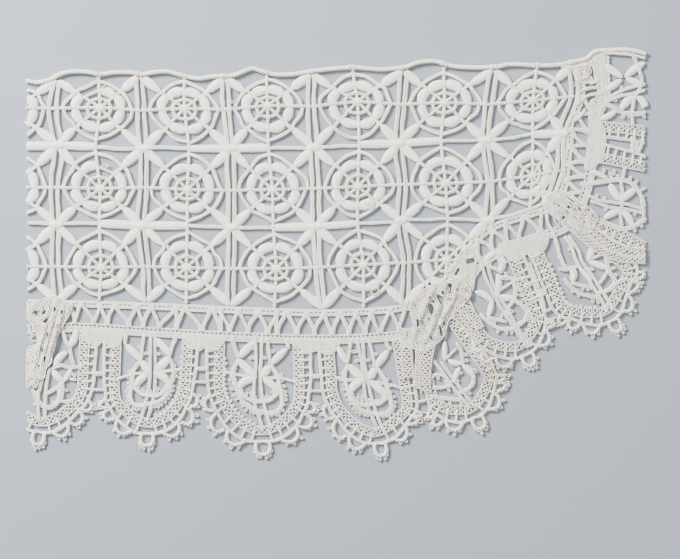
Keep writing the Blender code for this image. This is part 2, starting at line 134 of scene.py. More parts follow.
# The heading cord's route
HEADING_ROUTE = (
    (26, 80), (38, 82), (50, 79), (62, 73), (76, 71), (90, 72), (100, 74), (114, 72), (130, 72), (141, 74),
    (153, 72), (166, 71), (178, 74), (190, 77), (200, 78), (213, 76), (232, 75), (243, 71), (252, 68),
    (262, 71), (275, 74), (290, 74), (304, 72), (318, 70), (335, 68), (352, 67), (366, 68), (380, 69),
    (394, 68), (404, 67), (414, 63), (424, 61), (435, 61), (445, 64), (454, 66), (470, 67), (485, 67),
    (498, 66), (507, 64), (520, 64), (534, 65), (547, 65), (560, 64), (570, 62), (578, 60), (585, 58.5),
    (589, 55), (593, 51.5), (600, 50), (610, 49.5), (622, 49), (634, 50.5), (645, 53.5),
)

# The patches of close cloth: outlines, the way their threads run in degrees below the rows, holes, and the
# crests of the folds where the border is gathered round the net's turns
CLOTHS = (
    # The gather at the left cut
    {
        "outline": (
            (28, 306), (33, 302), (40, 300), (48, 296), (58, 296), (66, 301), (72, 303), (70, 312),
            (66, 319), (61, 328), (57, 336), (55, 345), (52, 354), (51, 362), (46, 368), (44, 377),
            (39, 379), (36, 387), (31, 384), (27, 386), (27, 352), (32, 347), (38, 341), (37, 333),
            (31, 322), (27, 317),
        ),
        "bearing": 105,
        "holes": (
            ((32, 312), (38, 310), (37, 314), (35, 317)), ((42, 311), (45, 309), (46, 311), (43, 314)),
            ((43, 321), (49, 315), (48, 319), (46, 322)), ((31, 324), (35, 326), (35, 330), (31, 330)),
            ((57, 326), (58, 323), (59, 324), (58, 327)), ((47, 333), (48, 331), (49, 333), (47, 337)),
            ((36, 352), (37, 351), (38, 353), (36, 354)), ((42, 348), (43, 347), (43, 351), (42, 351)),
            ((32, 361), (33, 360), (34, 362), (32, 363)), ((38, 364), (39, 362), (40, 364), (38, 368)),
            ((44, 357), (45, 355), (46, 357), (44, 362)), ((31, 371), (32, 370), (33, 372), (31, 373)),
            ((54, 307), (55, 306), (56, 309), (54, 311)), ((61, 311), (62, 309), (63, 311), (61, 314)),
        ),
        "crests": (
            ((64, 301), (58, 325), (51, 346), (46, 366)), ((57, 299), (51, 325), (45, 350), (39, 376)),
            ((49, 300), (45, 326), (38, 352), (32, 377)),
        ),
    },
    # The gather where the border turns up
    {
        "outline": (
            (411, 299), (420, 291), (432, 284), (440, 281), (452, 279), (459, 276), (465, 282), (470, 293),
            (464, 302), (457, 308), (452, 315), (447, 321), (445, 330), (441, 338), (434, 344), (425, 350),
            (414, 348), (402, 345), (399, 336), (398, 328), (410, 328), (412, 320), (409, 309),
        ),
        "bearing": 100,
        "holes": (
            ((427, 303), (431, 304), (433, 309), (431, 314), (428, 310)),
            ((428, 295), (434, 301), (433, 302), (429, 299)), ((435, 293), (443, 298), (440, 304)),
            ((447, 283), (451, 284), (449, 293), (447, 290)),
            ((416, 318), (418, 320), (418, 325), (416, 326)),
            ((443, 314), (446, 316), (446, 318), (444, 318)),
            ((438, 325), (440, 326), (442, 334), (440, 335)),
            ((441, 290), (443, 291), (443, 294), (441, 293)),
            ((448, 315), (450, 316), (449, 318), (447, 317)),
            ((464, 289), (469, 289), (469, 291), (465, 291)),
            ((424, 342), (426, 343), (425, 345), (423, 344)),
            ((456, 287), (458, 288), (457, 291), (455, 290)),
            ((429, 335), (431, 336), (432, 339), (430, 338)),
            ((442, 320), (444, 320), (444, 324), (442, 324)),
            ((421, 322), (422, 321), (425, 326), (424, 327)),
            ((427, 317), (428, 317), (431, 321), (430, 321)),
            ((461, 300), (463, 300), (463, 302), (461, 302)),
            ((449, 297), (450, 297), (450, 300), (449, 300)),
            ((414, 304), (415, 304), (416, 307), (415, 307)),
            ((406, 333), (407, 333), (407, 335), (406, 335)),
            ((434, 312), (435, 312), (436, 316), (435, 316)),
        ),
        "crests": (
            ((433, 286), (424, 306), (415, 328), (410, 346)),
            ((444, 284), (438, 306), (430, 328), (421, 346)),
            ((458, 281), (451, 300), (442, 318), (436, 338)),
        ),
    },
    # The gather at the next turn
    {
        "outline": (
            (545, 197), (553, 191), (562, 190), (571, 195), (582, 203), (590, 209), (596, 216), (594, 224),
            (588, 232), (580, 231), (572, 225), (564, 222), (556, 218), (547, 211), (542, 203),
        ),
        "bearing": 36,
        "holes": (
            ((562, 215), (567, 218), (565, 222), (561, 219)),
            ((553, 217), (555, 217), (558, 223), (556, 223)), ((572, 229), (575, 225), (575, 231)),
            ((576, 207), (579, 207), (581, 210), (578, 210)),
            ((591, 213), (593, 214), (593, 217), (591, 216)),
            ((583, 214), (585, 215), (584, 217), (582, 216)),
            ((590, 222), (592, 223), (592, 225), (590, 224)),
            ((567, 205), (569, 206), (568, 208), (566, 207)),
            ((598, 224), (600, 225), (600, 227), (598, 227)),
            ((574, 215), (576, 216), (575, 218), (573, 217)),
            ((552, 203), (553, 202), (559, 205), (558, 206)),
            ((566, 197), (567, 197), (573, 201), (572, 202)),
            ((580, 219), (581, 218), (586, 223), (585, 224)),
            ((558, 194), (559, 194), (563, 196), (562, 196)),
            ((586, 209), (587, 208), (589, 210), (588, 211)),
            ((563, 209), (564, 209), (568, 212), (567, 213)),
            ((572, 208), (573, 207), (575, 209), (574, 210)),
            ((584, 227), (585, 226), (587, 228), (586, 229)),
        ),
        "crests": (
            ((551, 195), (562, 199), (575, 207), (586, 216)),
            ((548, 204), (560, 210), (572, 219), (582, 228)),
        ),
    },
    # The end of the tape above the second gather
    {
        "outline": (
            (446, 268), (456, 260), (463, 250), (469, 243), (477, 249), (475, 262), (474, 276), (471, 291),
            (463, 284), (455, 280), (448, 277),
        ),
        "bearing": 118,
        "holes": (
            ((452, 268), (459, 268), (455, 275)), ((467, 256), (471, 255), (474, 261), (466, 263)),
            ((466, 279), (471, 273), (470, 277), (468, 284)),
        ),
    },
    # The tape that runs up beside the net
    {
        "outline": (
            (590, 100), (599, 98), (603, 104), (600, 112), (599, 120), (603, 128), (605, 140), (603, 152),
            (600, 160), (590, 168), (584, 168), (586, 150), (588, 132), (588, 112),
        ),
        "bearing": 84,
        "holes": (((596, 101), (598, 101), (598, 104), (596, 104)),),
    },
    # The corner by the heading
    {
        "outline": (
            (576, 60), (588, 56), (600, 52), (604, 60), (603, 72), (606, 84), (604, 96), (599, 100),
            (595, 96), (597, 88), (594, 78), (593, 70), (590, 64), (588, 74), (592, 79), (584, 83),
            (577, 80), (573, 74), (572, 66),
        ),
        "bearing": 80,
        "holes": (((580, 76), (584, 77), (583, 79), (580, 78)),),
    },
    # The roots of the scallops: first and second, second and third, third and fourth, sixth
    {
        "outline": (
            (84, 328), (100, 329), (124, 330), (122, 336), (118, 345), (110, 345), (102, 341), (96, 346),
            (89, 342), (82, 338),
        ),
        "bearing": 3,
    },
    {
        "outline": (
            (187, 334), (205, 335), (223, 336), (224, 340), (219, 346), (209, 351), (205, 346), (199, 350),
            (193, 347), (186, 343),
        ),
        "bearing": 3,
    },
    {
        "outline": (
            (294, 338), (316, 339), (337, 340), (338, 345), (332, 352), (324, 353), (317, 350), (312, 351),
            (305, 353), (299, 347), (292, 343),
        ),
        "bearing": 2,
    },
    {
        "outline": (
            (498, 244), (515, 239), (530, 235), (546, 230), (547, 242), (541, 252), (531, 258), (526, 253),
            (518, 260), (509, 259), (502, 252),
        ),
        "bearing": -17,
    },
)

# Strips of half stitch beside the folds: their widths and middle lines in squares
STRIPS = (
    (11, (574, 212), (587, 226), (600, 238), (614, 247), (630, 252), (647, 253)),
    (8, (562, 219), (578, 233), (594, 246), (606, 253), (622, 258), (647, 259)),
    (10, (446, 312), (455, 314), (464, 321), (472, 331), (479, 343)),
    (8, (458, 307), (466, 309), (474, 317), (480, 328)),
    (11, (429, 344), (426, 358), (424, 376), (425, 392)), (11, (406, 340), (406, 358), (408, 378)),
    (6, (418, 348), (417, 366), (416, 388)), (11, (30, 345), (36, 362), (34, 378)),
)
# Bars in the corner where the band ends, and the doubled cord: their widths and points in squares
CORNER_BARS = (
    (4.2, (579, 91), (587, 88), (598, 86)), (4.2, (579, 101), (588, 96), (601, 93)),
    (4.0, (589, 83), (598, 79)), (4.4, (577, 78), (578, 90), (577, 104)),
    (4.4, (560, 66), (573, 67), (586, 64)), (3.8, (602, 53), (618, 53.5), (631, 55), (644, 58)),
    (3.6, (529, 262), (534, 278), (540, 296), (545, 312)), (3.4, (524, 284), (532, 281), (540, 279)),
    (3.4, (528, 300), (537, 296), (545, 293)), (4.2, (585, 110), (580, 113), (573, 119)),
    (4.2, (553, 233), (548, 222), (545, 212)), (3.6, (500, 252), (506, 262)),
)
# Where a thread has sprung or a leaf has come undone: place, reach in squares, and turns
TANGLES = (
    ((572.6, 84), 2.8, 1.2), ((582, 74), 6.5, 3.2), ((586, 70), 4.5, 2.1), ((463, 291), 6.0, 1.6),
    ((435, 286), 5.0, 1.4), ((541, 191), 4.0, 1.3), ((369, 205), 5.5, 2.2), ((375, 291), 5.5, 2.3),
    ((466, 254), 6.5, 2.4), ((446, 289), 4.5, 1.7), ((190, 181), 3.0, 1.2), ((34, 337), 5.0, 2.4),
    ((508, 363), 3.0, 1.2), ((473, 370), 3.4, 1.8), ((84, 304), 2.4, 1.2), ((232, 104), 4.0, 1.6),
    ((94, 206), 4.2, 2.3), ((102, 86), 3.4, 1.7), ((190, 197), 3.6, 1.9), ((106, 166), 3.0, 1.4),
)

# What is worked inside a scallop: leaves and plaits by their width and points, and picots by column, row
# and how far they point right and down. The plain one is in the scallop's own chart. The others, drawn out
# of shape or cut, are in squares.
PLAIN_WORKING = {
    "leaves": (
        (8.2, (-3, 10), (-12, 18), (-20, 27)), (9.0, (-20, 28), (-13, 36), (-4, 45)),
        (8.2, (28, 14), (19, 23), (11, 32)), (8.6, (11, 32), (7, 38), (2, 45)),
        (8.6, (-20, 57), (-14, 50), (-4, 46)), (8.6, (18, 57), (11, 51), (3, 46)),
    ),
    "plaits": (
        (5.0, (-25, 4), (-23, 15), (-19, 27)), (4.0, (10, 5), (10.5, 18), (11, 31)),
        (4.5, (28, 4), (29, 14)), (3.6, (-34, 41), (-22, 43), (-3, 46)),
        (3.6, (3, 46), (20, 44), (36, 45)),
        (3.7, (-2.4, 4), (-2.6, 34), (-5.5, 57), (-4.5, 74), (-1, 89), (1, 97)),
        (3.7, (3.5, 4), (1.4, 34), (0.8, 57), (3.5, 74), (6, 89), (8, 97)),
        (4.4, (-19, 57), (-16, 65), (-9, 69.5), (0, 70), (8, 68), (13, 63), (18, 57)),
        (
            5.0, (-18, 29), (-22.5, 36), (-24, 43), (-22, 54), (-20, 64), (-12, 75), (0, 80), (14, 79.5),
            (20.5, 71), (20.5, 61), (19, 51), (18, 41), (12, 32),
        ),
    ),
    "picots": (
        (-24, 44, -1, 0), (-22, 53, -1, 0), (-21, 63, -1, 0.2), (-17, 70, -1, 0.6), (-12, 75, -0.6, 1),
        (-6, 78, -0.2, 1), (9, 80, 0, 1), (16, 79, 0.4, 1), (20, 70, 1, 0.6), (21, 61, 1, 0),
        (20, 51, 1, 0), (18, 41, 1, -0.2), (-10, 69, 0.4, -1), (9, 68, -0.2, -1), (-4, 26, -1, 0),
        (3, 25, 1, 0.1), (-5, 62, -1, 0), (11, 18, 1, 0), (0, 70, 0, -1), (-24, 48.5, -1, 0),
        (-21.5, 58, -1, 0.1), (-19.5, 66.5, -1, 0.4), (-15, 72.5, -0.8, 0.8), (-9, 77, -0.4, 1),
        (-2, 79.5, 0, 1), (4, 80, 0, 1), (13, 79.5, 0.2, 1), (19, 75, 0.8, 0.8), (21, 65.5, 1, 0.2),
        (20.5, 56, 1, 0), (19.5, 46, 1, 0), (-22, 38, -1, -0.1), (-14, 66.5, 0.3, -1), (-5, 69.8, 0, -1),
        (5, 69, 0, -1), (14, 61, -0.6, -1), (-4.5, 17, -1, 0), (3, 38, 1, 0.1),
    ),
}
# The last plain scallop has its upper left leaf on the other side of the plait
LAST_PLAIN_WORKING = {
    "leaves": (
        (8.2, (-27, 10), (-23, 19), (-18, 28)), (9.0, (-18, 29), (-12, 36), (-4, 45)),
        *PLAIN_WORKING["leaves"][2:],
    ),
    "plaits": ((4.2, (-8, 4), (-13, 16), (-18, 28)), *PLAIN_WORKING["plaits"][1:]),
    "picots": PLAIN_WORKING["picots"],
}
WORKINGS = {
    0: {
        "leaves": (
            (7.6, (77, 328), (74, 338), (69, 347)), (7.6, (67, 351), (60, 356), (53, 365)),
            (8.0, (52, 369), (57, 376), (63, 381)), (6.0, (71, 367), (68, 374), (63, 381)),
        ),
        "plaits": (
            (4.4, (62, 328), (65, 339), (69, 347)), (4.8, (69, 348), (72, 356), (75, 366)),
            (4.4, (51, 367), (60, 363.5), (70, 366), (82, 366)), (4.4, (62, 381), (62.5, 389), (60, 399)),
            (5.0, (26, 382), (31, 388), (37, 400), (45, 406), (53, 405), (58, 398), (59, 388), (61, 382)),
            (4.4, (44, 394), (50, 391), (61, 384)), (4.0, (60, 399), (68, 400), (74, 398)),
            (4.0, (42, 370), (41, 384), (38.5, 400), (38, 419)),
            (4.0, (50, 367), (47, 384), (45, 400), (44, 419)),
        ),
        "picots": (
            (66, 336, -1, -0.3), (36, 401, -0.8, 1), (54, 404, -0.6, -1), (71, 372, 1, 0.5),
            (70, 378, 1, 0.5), (33, 391, 1, 0.2), (62, 389, 1, 0.1),
        ),
    },
    4: {
        "leaves": (
            (5.6, (444, 340), (444, 350), (444, 360)), (6.2, (447, 359), (453, 362), (461, 363)),
            (6.4, (461, 364), (468, 369), (474, 377)), (6.4, (459, 366), (456, 373), (452, 382)),
        ),
        "plaits": (
            (4.4, (456, 342), (461, 351), (462, 364)), (3.2, (446, 358), (455, 348)),
            (4.0, (432, 360), (440, 369), (449, 381), (459, 394), (470, 407)),
            (4.0, (440, 362), (447, 371), (454, 381), (464, 393), (474, 405)),
            (4.8, (474, 376), (473, 383), (467, 389), (458, 393)),
            (4.4, (431, 387), (440, 386.5), (451, 384)),
            (4.0, (429, 381), (432, 375), (440, 374), (448, 378)),
            (4.8, (430, 394), (441, 397), (452, 398.5), (461, 399)),
        ),
        "picots": (
            (462, 353, 1, 0), (463, 359, 1, 0.2), (456, 373, 1, -0.2), (454, 380, 1, 0.2),
            (443, 397, 0, 1), (449, 398, 0, 1), (446, 386, 0, -1), (437, 375, 0, 1), (447, 386, 0.4, 1),
            (466, 390, 1, 1), (460, 401, 0.4, 1),
        ),
    },
    5: {
        "leaves": (
            (7.4, (500, 256), (501.5, 264), (499, 273)), (7.4, (497, 273), (498, 284), (495, 297)),
            (7.6, (474, 291), (483, 294), (493, 302)), (7.4, (497, 296), (505, 297), (514, 297)),
            (6.4, (491, 300), (490, 308), (487, 316)), (6.4, (499, 249), (490, 255), (482, 262)),
        ),
        "plaits": (
            (4.0, (480, 258), (484, 275), (491, 290), (499, 305), (507, 318), (516, 332), (527, 347)),
            (4.0, (485, 258), (489, 274), (495, 290), (504, 305), (512, 318), (520, 331), (531, 345)),
            (4.0, (498, 249), (498, 262)), (4.2, (483, 263), (491, 267), (499, 271)),
            (4.8, (499, 277), (508, 278), (523, 279)), (3.4, (498, 291), (504, 286), (512, 281)),
            (5.0, (512, 279), (514, 290), (513, 299), (520, 305), (526, 312), (524, 320), (513, 327)),
            (4.2, (513, 301), (508, 308), (506, 318)),
            (4.8, (479, 314), (489, 322), (500, 328), (512, 328)),
            (4.2, (487, 316), (497, 318), (506, 320)),
        ),
        "picots": (
            (513, 286, 1, 0.1), (513, 294, 1, 0), (519, 304, 0.4, -1), (525, 311, 1, -0.3),
            (525, 319, 1, 0.4), (498, 327, -0.4, 1), (505, 329, -0.2, 1), (510, 328, 0.2, 1),
            (494, 324, 0, -1), (500, 318, 0.4, -1), (508, 309, 1, 0.5), (489, 262, 0, 1),
            (507, 277, -0.5, -1),
        ),
    },
    6: {
        "leaves": (
            (8.0, (591, 246), (590, 253), (587, 261)), (7.2, (588, 261), (597, 264), (607, 268)),
            (7.6, (569, 267), (573, 273), (571, 281)), (5.0, (577, 265), (584, 273), (591, 281)),
        ),
        "plaits": (
            (4.0, (564, 236), (570, 245), (574, 257), (580, 267), (590, 281), (598, 294), (606, 311)),
            (4.0, (567, 236), (577, 250), (580, 259), (585, 267), (595, 281), (602, 293), (611, 309)),
            (4.8, (552, 232), (556, 244), (560, 258), (565, 266), (575, 267)),
            (4.4, (558, 268), (566, 269), (578, 266)), (3.2, (589, 259), (595, 256), (603, 252)),
            (5.0, (604, 250), (606, 262), (609, 272), (614, 281), (608, 289), (596, 293)),
            (4.2, (571, 281), (580, 284), (592, 288)),
            (4.8, (563, 278), (570, 286), (578, 292), (589, 295), (599, 297)),
            (4.0, (608, 268), (603, 275), (599, 283)), (4.0, (614, 282), (620, 280), (626, 277)),
        ),
        "picots": (
            (608, 268, 1, -0.2), (611, 274, 1, 0), (606, 259, 1, 0.6), (610, 288, 0.6, 1),
            (603, 275, 0, 1), (572, 247, -1, 0.3), (561, 255, -1, 0.4), (582, 284, 0, 1), (587, 285, 0, 1),
            (579, 292, -0.6, 1), (592, 296, 0, 1), (596, 297, 0, 1), (573, 288, -0.5, 1),
            (588, 268, 1, 0.3),
        ),
    },
    7: {
        "leaves": (
            (5.6, (589, 171), (597, 173), (607, 178)), (8.4, (609, 183), (613, 191), (620, 200)),
            (8.6, (621, 200), (627, 194), (635, 189)), (7.2, (603, 218), (611, 213), (620, 210)),
            (8.6, (621, 210), (627, 216), (632, 225)),
        ),
        "plaits": (
            (
                5.4, (580, 184), (590, 182.5), (600, 181), (610, 179), (620, 178.5), (629, 181),
                (636, 187), (641, 195), (644, 206), (645, 217),
            ),
            (3.8, (623, 166), (622, 174), (619.5, 181), (621, 191), (621, 201), (620, 212), (621, 226)),
            (3.8, (587, 195), (603, 201), (620, 203), (634, 206), (647, 209)),
            (3.8, (590, 200), (606, 206), (620, 208), (634, 210.5), (647, 214)),
            (5.4, (597, 220), (605, 223), (613, 226), (622, 228), (632, 226), (640, 221), (647, 217)),
        ),
        "picots": (
            (595, 199, 0.1, -1), (603, 200, 0.1, -1), (605, 206, 0, 1), (611, 178, -0.1, -1),
            (616, 178, 0.2, -1), (628, 180, 0.4, -1), (634, 184, 0.6, -1), (639, 190, 1, -0.8),
            (643, 197, 1, -0.5), (625, 228, 0, 1), (633, 227, 0.2, 1), (640, 223, 0.3, 1),
            (634, 210, 0.1, 1), (589, 183, 0, -1), (603, 168, 0.2, 1), (613, 169, -0.2, 1),
        ),
    },
    8: {
        "leaves": (
            (8.2, (604, 64), (613, 71), (622, 77)), (8.2, (644, 62), (633, 69), (624, 77)),
            (7.0, (621, 79), (614, 84), (605, 90)), (7.2, (625, 78), (633, 81), (642, 85)),
            (8.0, (634, 96), (626, 101), (620, 109)), (8.0, (636, 96), (642, 101), (646, 110)),
            (6.6, (598, 119), (607, 116), (616, 110)),
        ),
        "plaits": (
            (4.0, (631, 53), (636, 63), (641, 78), (639, 88), (634, 97), (631.5, 110), (632, 125)),
            (3.8, (602, 98), (615, 93), (630, 87), (647, 83)),
            (3.8, (603, 101), (620, 96), (633, 93), (647, 89)),
            (5.6, (597, 102), (608, 105), (618, 110), (628, 113), (640, 113), (647, 112)),
            (3.8, (630, 137), (636, 142), (634, 150)), (3.8, (642, 138), (640, 146), (636, 152)),
        ),
        "picots": (
            (620, 90, 0.1, -1), (622, 113, 0.1, 1), (627, 113, 0.2, 1), (642, 113, 0.1, 1),
            (637, 146, 0.2, 1), (614, 97, 0.2, 1),
        ),
    },
}

# Thread sizes and heights over the floor
STRAND = 0.37
THREAD = 0.25
HALF_STITCH_THREAD = 0.22
EDGE_THREAD = 0.3
PICOT_THREAD = 0.3
SPRUNG_THREAD = 0.2
WHIPPING_THREAD = 0.17
CORD_STRAND = 0.46
PLAIT_HEIGHT = 0.66
TAPE_HEIGHT = 0.6
CLOTH_HEIGHT = 0.75
CORD_HEIGHT = 0.85
LOWEST_THREAD = 0.02
LOWEST_LEAF = 0.03

# Plaits, twists and stitches: their width, how long one round of them is, and its steps
PLAIT_WIDTH = 1.92
PLAIT_PERIOD = 2.6
PLAIT_STEPS = 6
PLAIT_RISE = 0.27
TWIST_PERIOD = 2.2
TWIST_STEPS = 6
TAPE_PITCH = 0.78
HALF_STITCH_PITCH = 0.95
HALF_STITCH_THREADS = 4

# Close cloth, flat and gathered: the threads' pitch and sway, and the folds' rise, crests and reach
FLAT_PITCH, FLAT_SWAY = 0.6, 0.12
FOLD_PITCH, FOLD_SWAY = 0.66, 0.26
FOLD_LIFT = 0.35
FOLD_CREST = 1.25
FOLD_REACH = 0.95
CRUMPLE = 0.25
HOLE_BINDING = 0.24

# How far threads keep from the cut ends and from the heading cord, and reach past the seam
CUT_MARGIN = 0.1
CORD_MARGIN = 0.3
SEAM_OVERLAP = 0.9
ANY_ANGLE = (0, 6.28)


def mix(a, b, share):
    return tuple(p + (q - p) * share for p, q in zip(a, b))


def world(chart):
    """Chart points as millimetres on the surface."""
    points = np.asarray(chart, dtype=float).reshape(-1, 2)
    return np.column_stack(((points[:, 0] - MIDDLE_COLUMN) * SQUARE, (MIDDLE_ROW - points[:, 1]) * SQUARE))


def smooth(points, closed=False, steps=8):
    """A smooth curve through the points, close-set."""
    points = np.asarray(points, dtype=float)
    if closed:
        points = np.vstack((points[-1], points, points[0], points[1]))
    else:
        points = np.vstack((2 * points[0] - points[1], points, 2 * points[-1] - points[-2]))
    t = (np.arange(steps) / steps)[:, None]
    rows = []
    for before, a, b, after in zip(points, points[1:], points[2:], points[3:]):
        rows.append(
            (
                before * (-t + 2 * t**2 - t**3)
                + a * (2 - 5 * t**2 + 3 * t**3)
                + b * (t + 4 * t**2 - 3 * t**3)
                + after * (-(t**2) + t**3)
            )
            / 2
        )
    rows.append(points[-2][None])
    return np.vstack(rows)


def walked(path):
    """How far along a path each of its points lies."""
    return np.concatenate(([0], np.cumsum(np.linalg.norm(np.diff(path, axis=0), axis=1))))


def spaced(path, step, least=3):
    """The path with evenly spaced points, about a step apart."""
    lengths = walked(path)
    count = max(least, int(round(lengths[-1] / step)) + 1)
    at = np.linspace(0, lengths[-1], count)
    return np.column_stack([np.interp(at, lengths, path[:, k]) for k in range(path.shape[1])])


def unit(vectors):
    return vectors / np.maximum(np.linalg.norm(vectors, axis=1), 1e-9)[:, None]


def normals(path):
    """The left-hand unit normals of a flat path."""
    along = unit(np.gradient(path[:, :2], axis=0))
    return np.column_stack((-along[:, 1], along[:, 0]))


def wander(count, size, reach):
    """A slow sideways wander, as hand tension gives: its size, and how many points one swing takes."""
    knots = max(3, int(count / reach) + 2)
    return np.interp(np.linspace(0, knots - 1, count), np.arange(knots), RNG.normal(0, size, knots))


def waves(count, steps):
    """The angle along a thread that turns once in so many steps, from a start of its own."""
    return np.arange(count) * 2 * math.pi / steps + RNG.uniform(*ANY_ANGLE)


def band_paths():
    """The seam and the tape's upper edge, with as many corners each, as in the CAD."""
    both = smooth([(*inner, *outer) for inner, outer in BORDER_STATIONS], steps=10)
    return both[:, :2], both[:, 2:]


SEAM, TAPE = band_paths()
SEAM_MM, TAPE_MM = world(SEAM), world(TAPE)
HEADING_MM = world(HEADING_ROUTE)
LEFT_MM = (CUT_LEFT - MIDDLE_COLUMN) * SQUARE
RIGHT_MM = (CUT_RIGHT - MIDDLE_COLUMN) * SQUARE


def seam_side(points):
    """How far points lie from the seam in millimetres: positive on the border's side."""
    middles = (SEAM_MM[:-1] + SEAM_MM[1:]) / 2
    along = unit(np.diff(SEAM_MM, axis=0))
    nearest = np.argmin(((points[:, None, :2] - middles[None]) ** 2).sum(axis=2), axis=1)
    offset = points[:, :2] - middles[nearest]
    return along[nearest, 1] * offset[:, 0] - along[nearest, 0] * offset[:, 1]


def inside(points):
    """Which points lie between the two cut ends and below the heading cord."""
    x, y = points[:, 0], points[:, 1]
    top = np.interp(x, HEADING_MM[:, 0], HEADING_MM[:, 1])
    return (x > LEFT_MM + CUT_MARGIN) & (x < RIGHT_MM - CUT_MARGIN) & (y < top - CORD_MARGIN)


def runs(points, kept):
    """The stretches of a strand whose points are kept."""
    stretches, start = [], None
    for k, keep in enumerate([*kept, False]):
        if keep and start is None:
            start = k
        if not keep and start is not None:
            if k - start > 2:
                stretches.append(points[start:k])
            start = None
    return stretches


class Tubes:
    """Closed tubes that become one mesh, cut off where their region of the lace ends."""

    def __init__(self, name, region="border"):
        self.name, self.region = name, region
        self.vertices, self.faces, self.uvs, self.total = [], [], [], 0

    def stretches(self, line):
        """What the region keeps of a line."""
        if self.region == "heading":
            return [line]
        kept = inside(line)
        if self.region == "net":
            kept &= seam_side(line) < SEAM_OVERLAP
        return runs(line, kept)

    def skin(self, rings, uv, next_uv, hand):
        """Closes rings of points into a tube, with texture places for each point and the next one round.

        The hand is 1 or -1, so that the faces look outward whichever way the rings turn."""
        count, sides = rings.shape[:2]
        grid = self.total + np.arange(count * sides).reshape(count, sides)
        beside = np.roll(grid, -1, 1)
        order = (0, 1, 2, 3) if hand > 0 else (0, 3, 2, 1)
        corners = (grid[:-1], beside[:-1], beside[1:], grid[1:])
        places = (uv[:-1], next_uv[:-1], next_uv[1:], uv[1:])
        self.vertices.append(rings.reshape(-1, 3))
        self.faces.append(np.stack([corners[k] for k in order], axis=2).reshape(-1, 4))
        self.uvs.append(np.stack([places[k] for k in order], axis=2).reshape(-1, 4, 2))
        for loop in (grid[0][::-hand], grid[-1][::hand]):
            fan = [[loop[0], loop[k], loop[k + 1], loop[k + 2]] for k in range(1, sides - 2, 2)]
            self.faces.append(np.array(fan))
            self.uvs.append(np.zeros((len(fan), 4, 2)))
        self.total += count * sides

    def make(self, material):
        """The piece, with four-cornered faces."""
        faces = np.vstack(self.faces)
        mesh = bpy.data.meshes.new(self.name)
        mesh.vertices.add(self.total)
        mesh.vertices.foreach_set("co", (np.vstack(self.vertices) * MM).astype(np.float32).ravel())
        mesh.loops.add(faces.size)
        mesh.loops.foreach_set("vertex_index", faces.astype(np.int32).ravel())
        mesh.polygons.add(len(faces))
        mesh.polygons.foreach_set("loop_start", np.arange(0, faces.size, 4, dtype=np.int32))
        mesh.polygons.foreach_set("use_smooth", np.ones(len(faces), dtype=bool))
        layer = mesh.uv_layers.new(name="thread")
        mesh.update(calc_edges=True)
        layer.data.foreach_set("uv", np.vstack(self.uvs).astype(np.float32).ravel())
        mesh.validate()
        mesh.materials.append(material)
        piece = bpy.data.objects.new(self.name, mesh)
        bpy.context.scene.collection.objects.link(piece)
        return piece


class Strands(Tubes):
    """Round threads, each with its own radius along its length."""

    def __init__(self, name, sides=4, region="border"):
        super().__init__(name, region)
        self.sides = sides

    def add(self, points, radius):
        for line in self.stretches(np.column_stack((points, np.broadcast_to(radius, len(points))))):
            self.tube(line)

    def tube(self, line):
        points, radius = line[:, :3], line[:, 3, None, None]
        along = unit(np.gradient(points, axis=0))
        side = np.cross([0.0, 0.0, 1.0], along)
        side[np.linalg.norm(side, axis=1) < 0.05] = [1.0, 0.0, 0.0]
        side = unit(side)
        up = np.cross(along, side)
        turn = (np.arange(self.sides) + 0.5) * 2 * math.pi / self.sides
        wide = side[:, None] * (np.cos(turn)[None, :, None] * radius)
        high = up[:, None] * (np.sin(turn)[None, :, None] * radius)
        rings = points[:, None] + wide + high
        rings[:, :, 2] = np.maximum(rings[:, :, 2], LOWEST_THREAD)
        around = np.arange(self.sides) / self.sides
        length = walked(points)[:, None] + 0 * around
        uv = np.stack((np.broadcast_to(around, length.shape), length), axis=2)
        self.skin(rings, uv, uv + [1 / self.sides, 0], 1)


class Leaves(Tubes):
    """Woven leaves: flat lens-shaped bodies with the turns of the weaving thread along their edges."""

    SIDES = 8
    STEP = 0.28

    def add(self, path, width, thickness=0.95, blunt=0.5):
        path = spaced(path, self.STEP, 7)
        share = np.linspace(0, 1, len(path))
        for stretch in self.stretches(np.column_stack((path, share))):
            self.body(stretch[:, :2], stretch[:, 2], width, thickness, blunt)

    def body(self, path, share, width, thickness, blunt):
        count = len(path)
        belly = np.clip(1 - np.abs(2 * share - 1) ** 2.4, 0, 1) ** 0.62
        belly = blunt * 0.36 + (1 - blunt * 0.36) * belly
        turns = 1 + 0.05 * (-1.0) ** np.arange(count)
        half = width / 2 * belly * turns * (1 + 0.03 * RNG.standard_normal() + wander(count, 0.035, 3))
        thick = thickness / 2 * (0.55 + 0.45 * belly) * turns
        angle = np.arange(self.SIDES) * 2 * math.pi / self.SIDES
        wide = np.sign(np.cos(angle)) * np.abs(np.cos(angle)) ** 0.8
        high = np.sign(np.sin(angle)) * np.abs(np.sin(angle)) ** 0.65
        reach = half[:, None] * wide[None]
        flat = path[:, None] + normals(path)[:, None] * reach[:, :, None]
        level = PLAIT_HEIGHT + thick[:, None] * high[None] * np.where(high > 0, 1.0, 0.85)[None]
        rings = np.concatenate((flat, np.maximum(level, LOWEST_LEAF)[:, :, None]), axis=2)
        uv = np.stack((reach, np.broadcast_to(walked(path)[:, None], reach.shape)), axis=2)
        self.skin(rings, uv, np.roll(uv, -1, 1), -1)


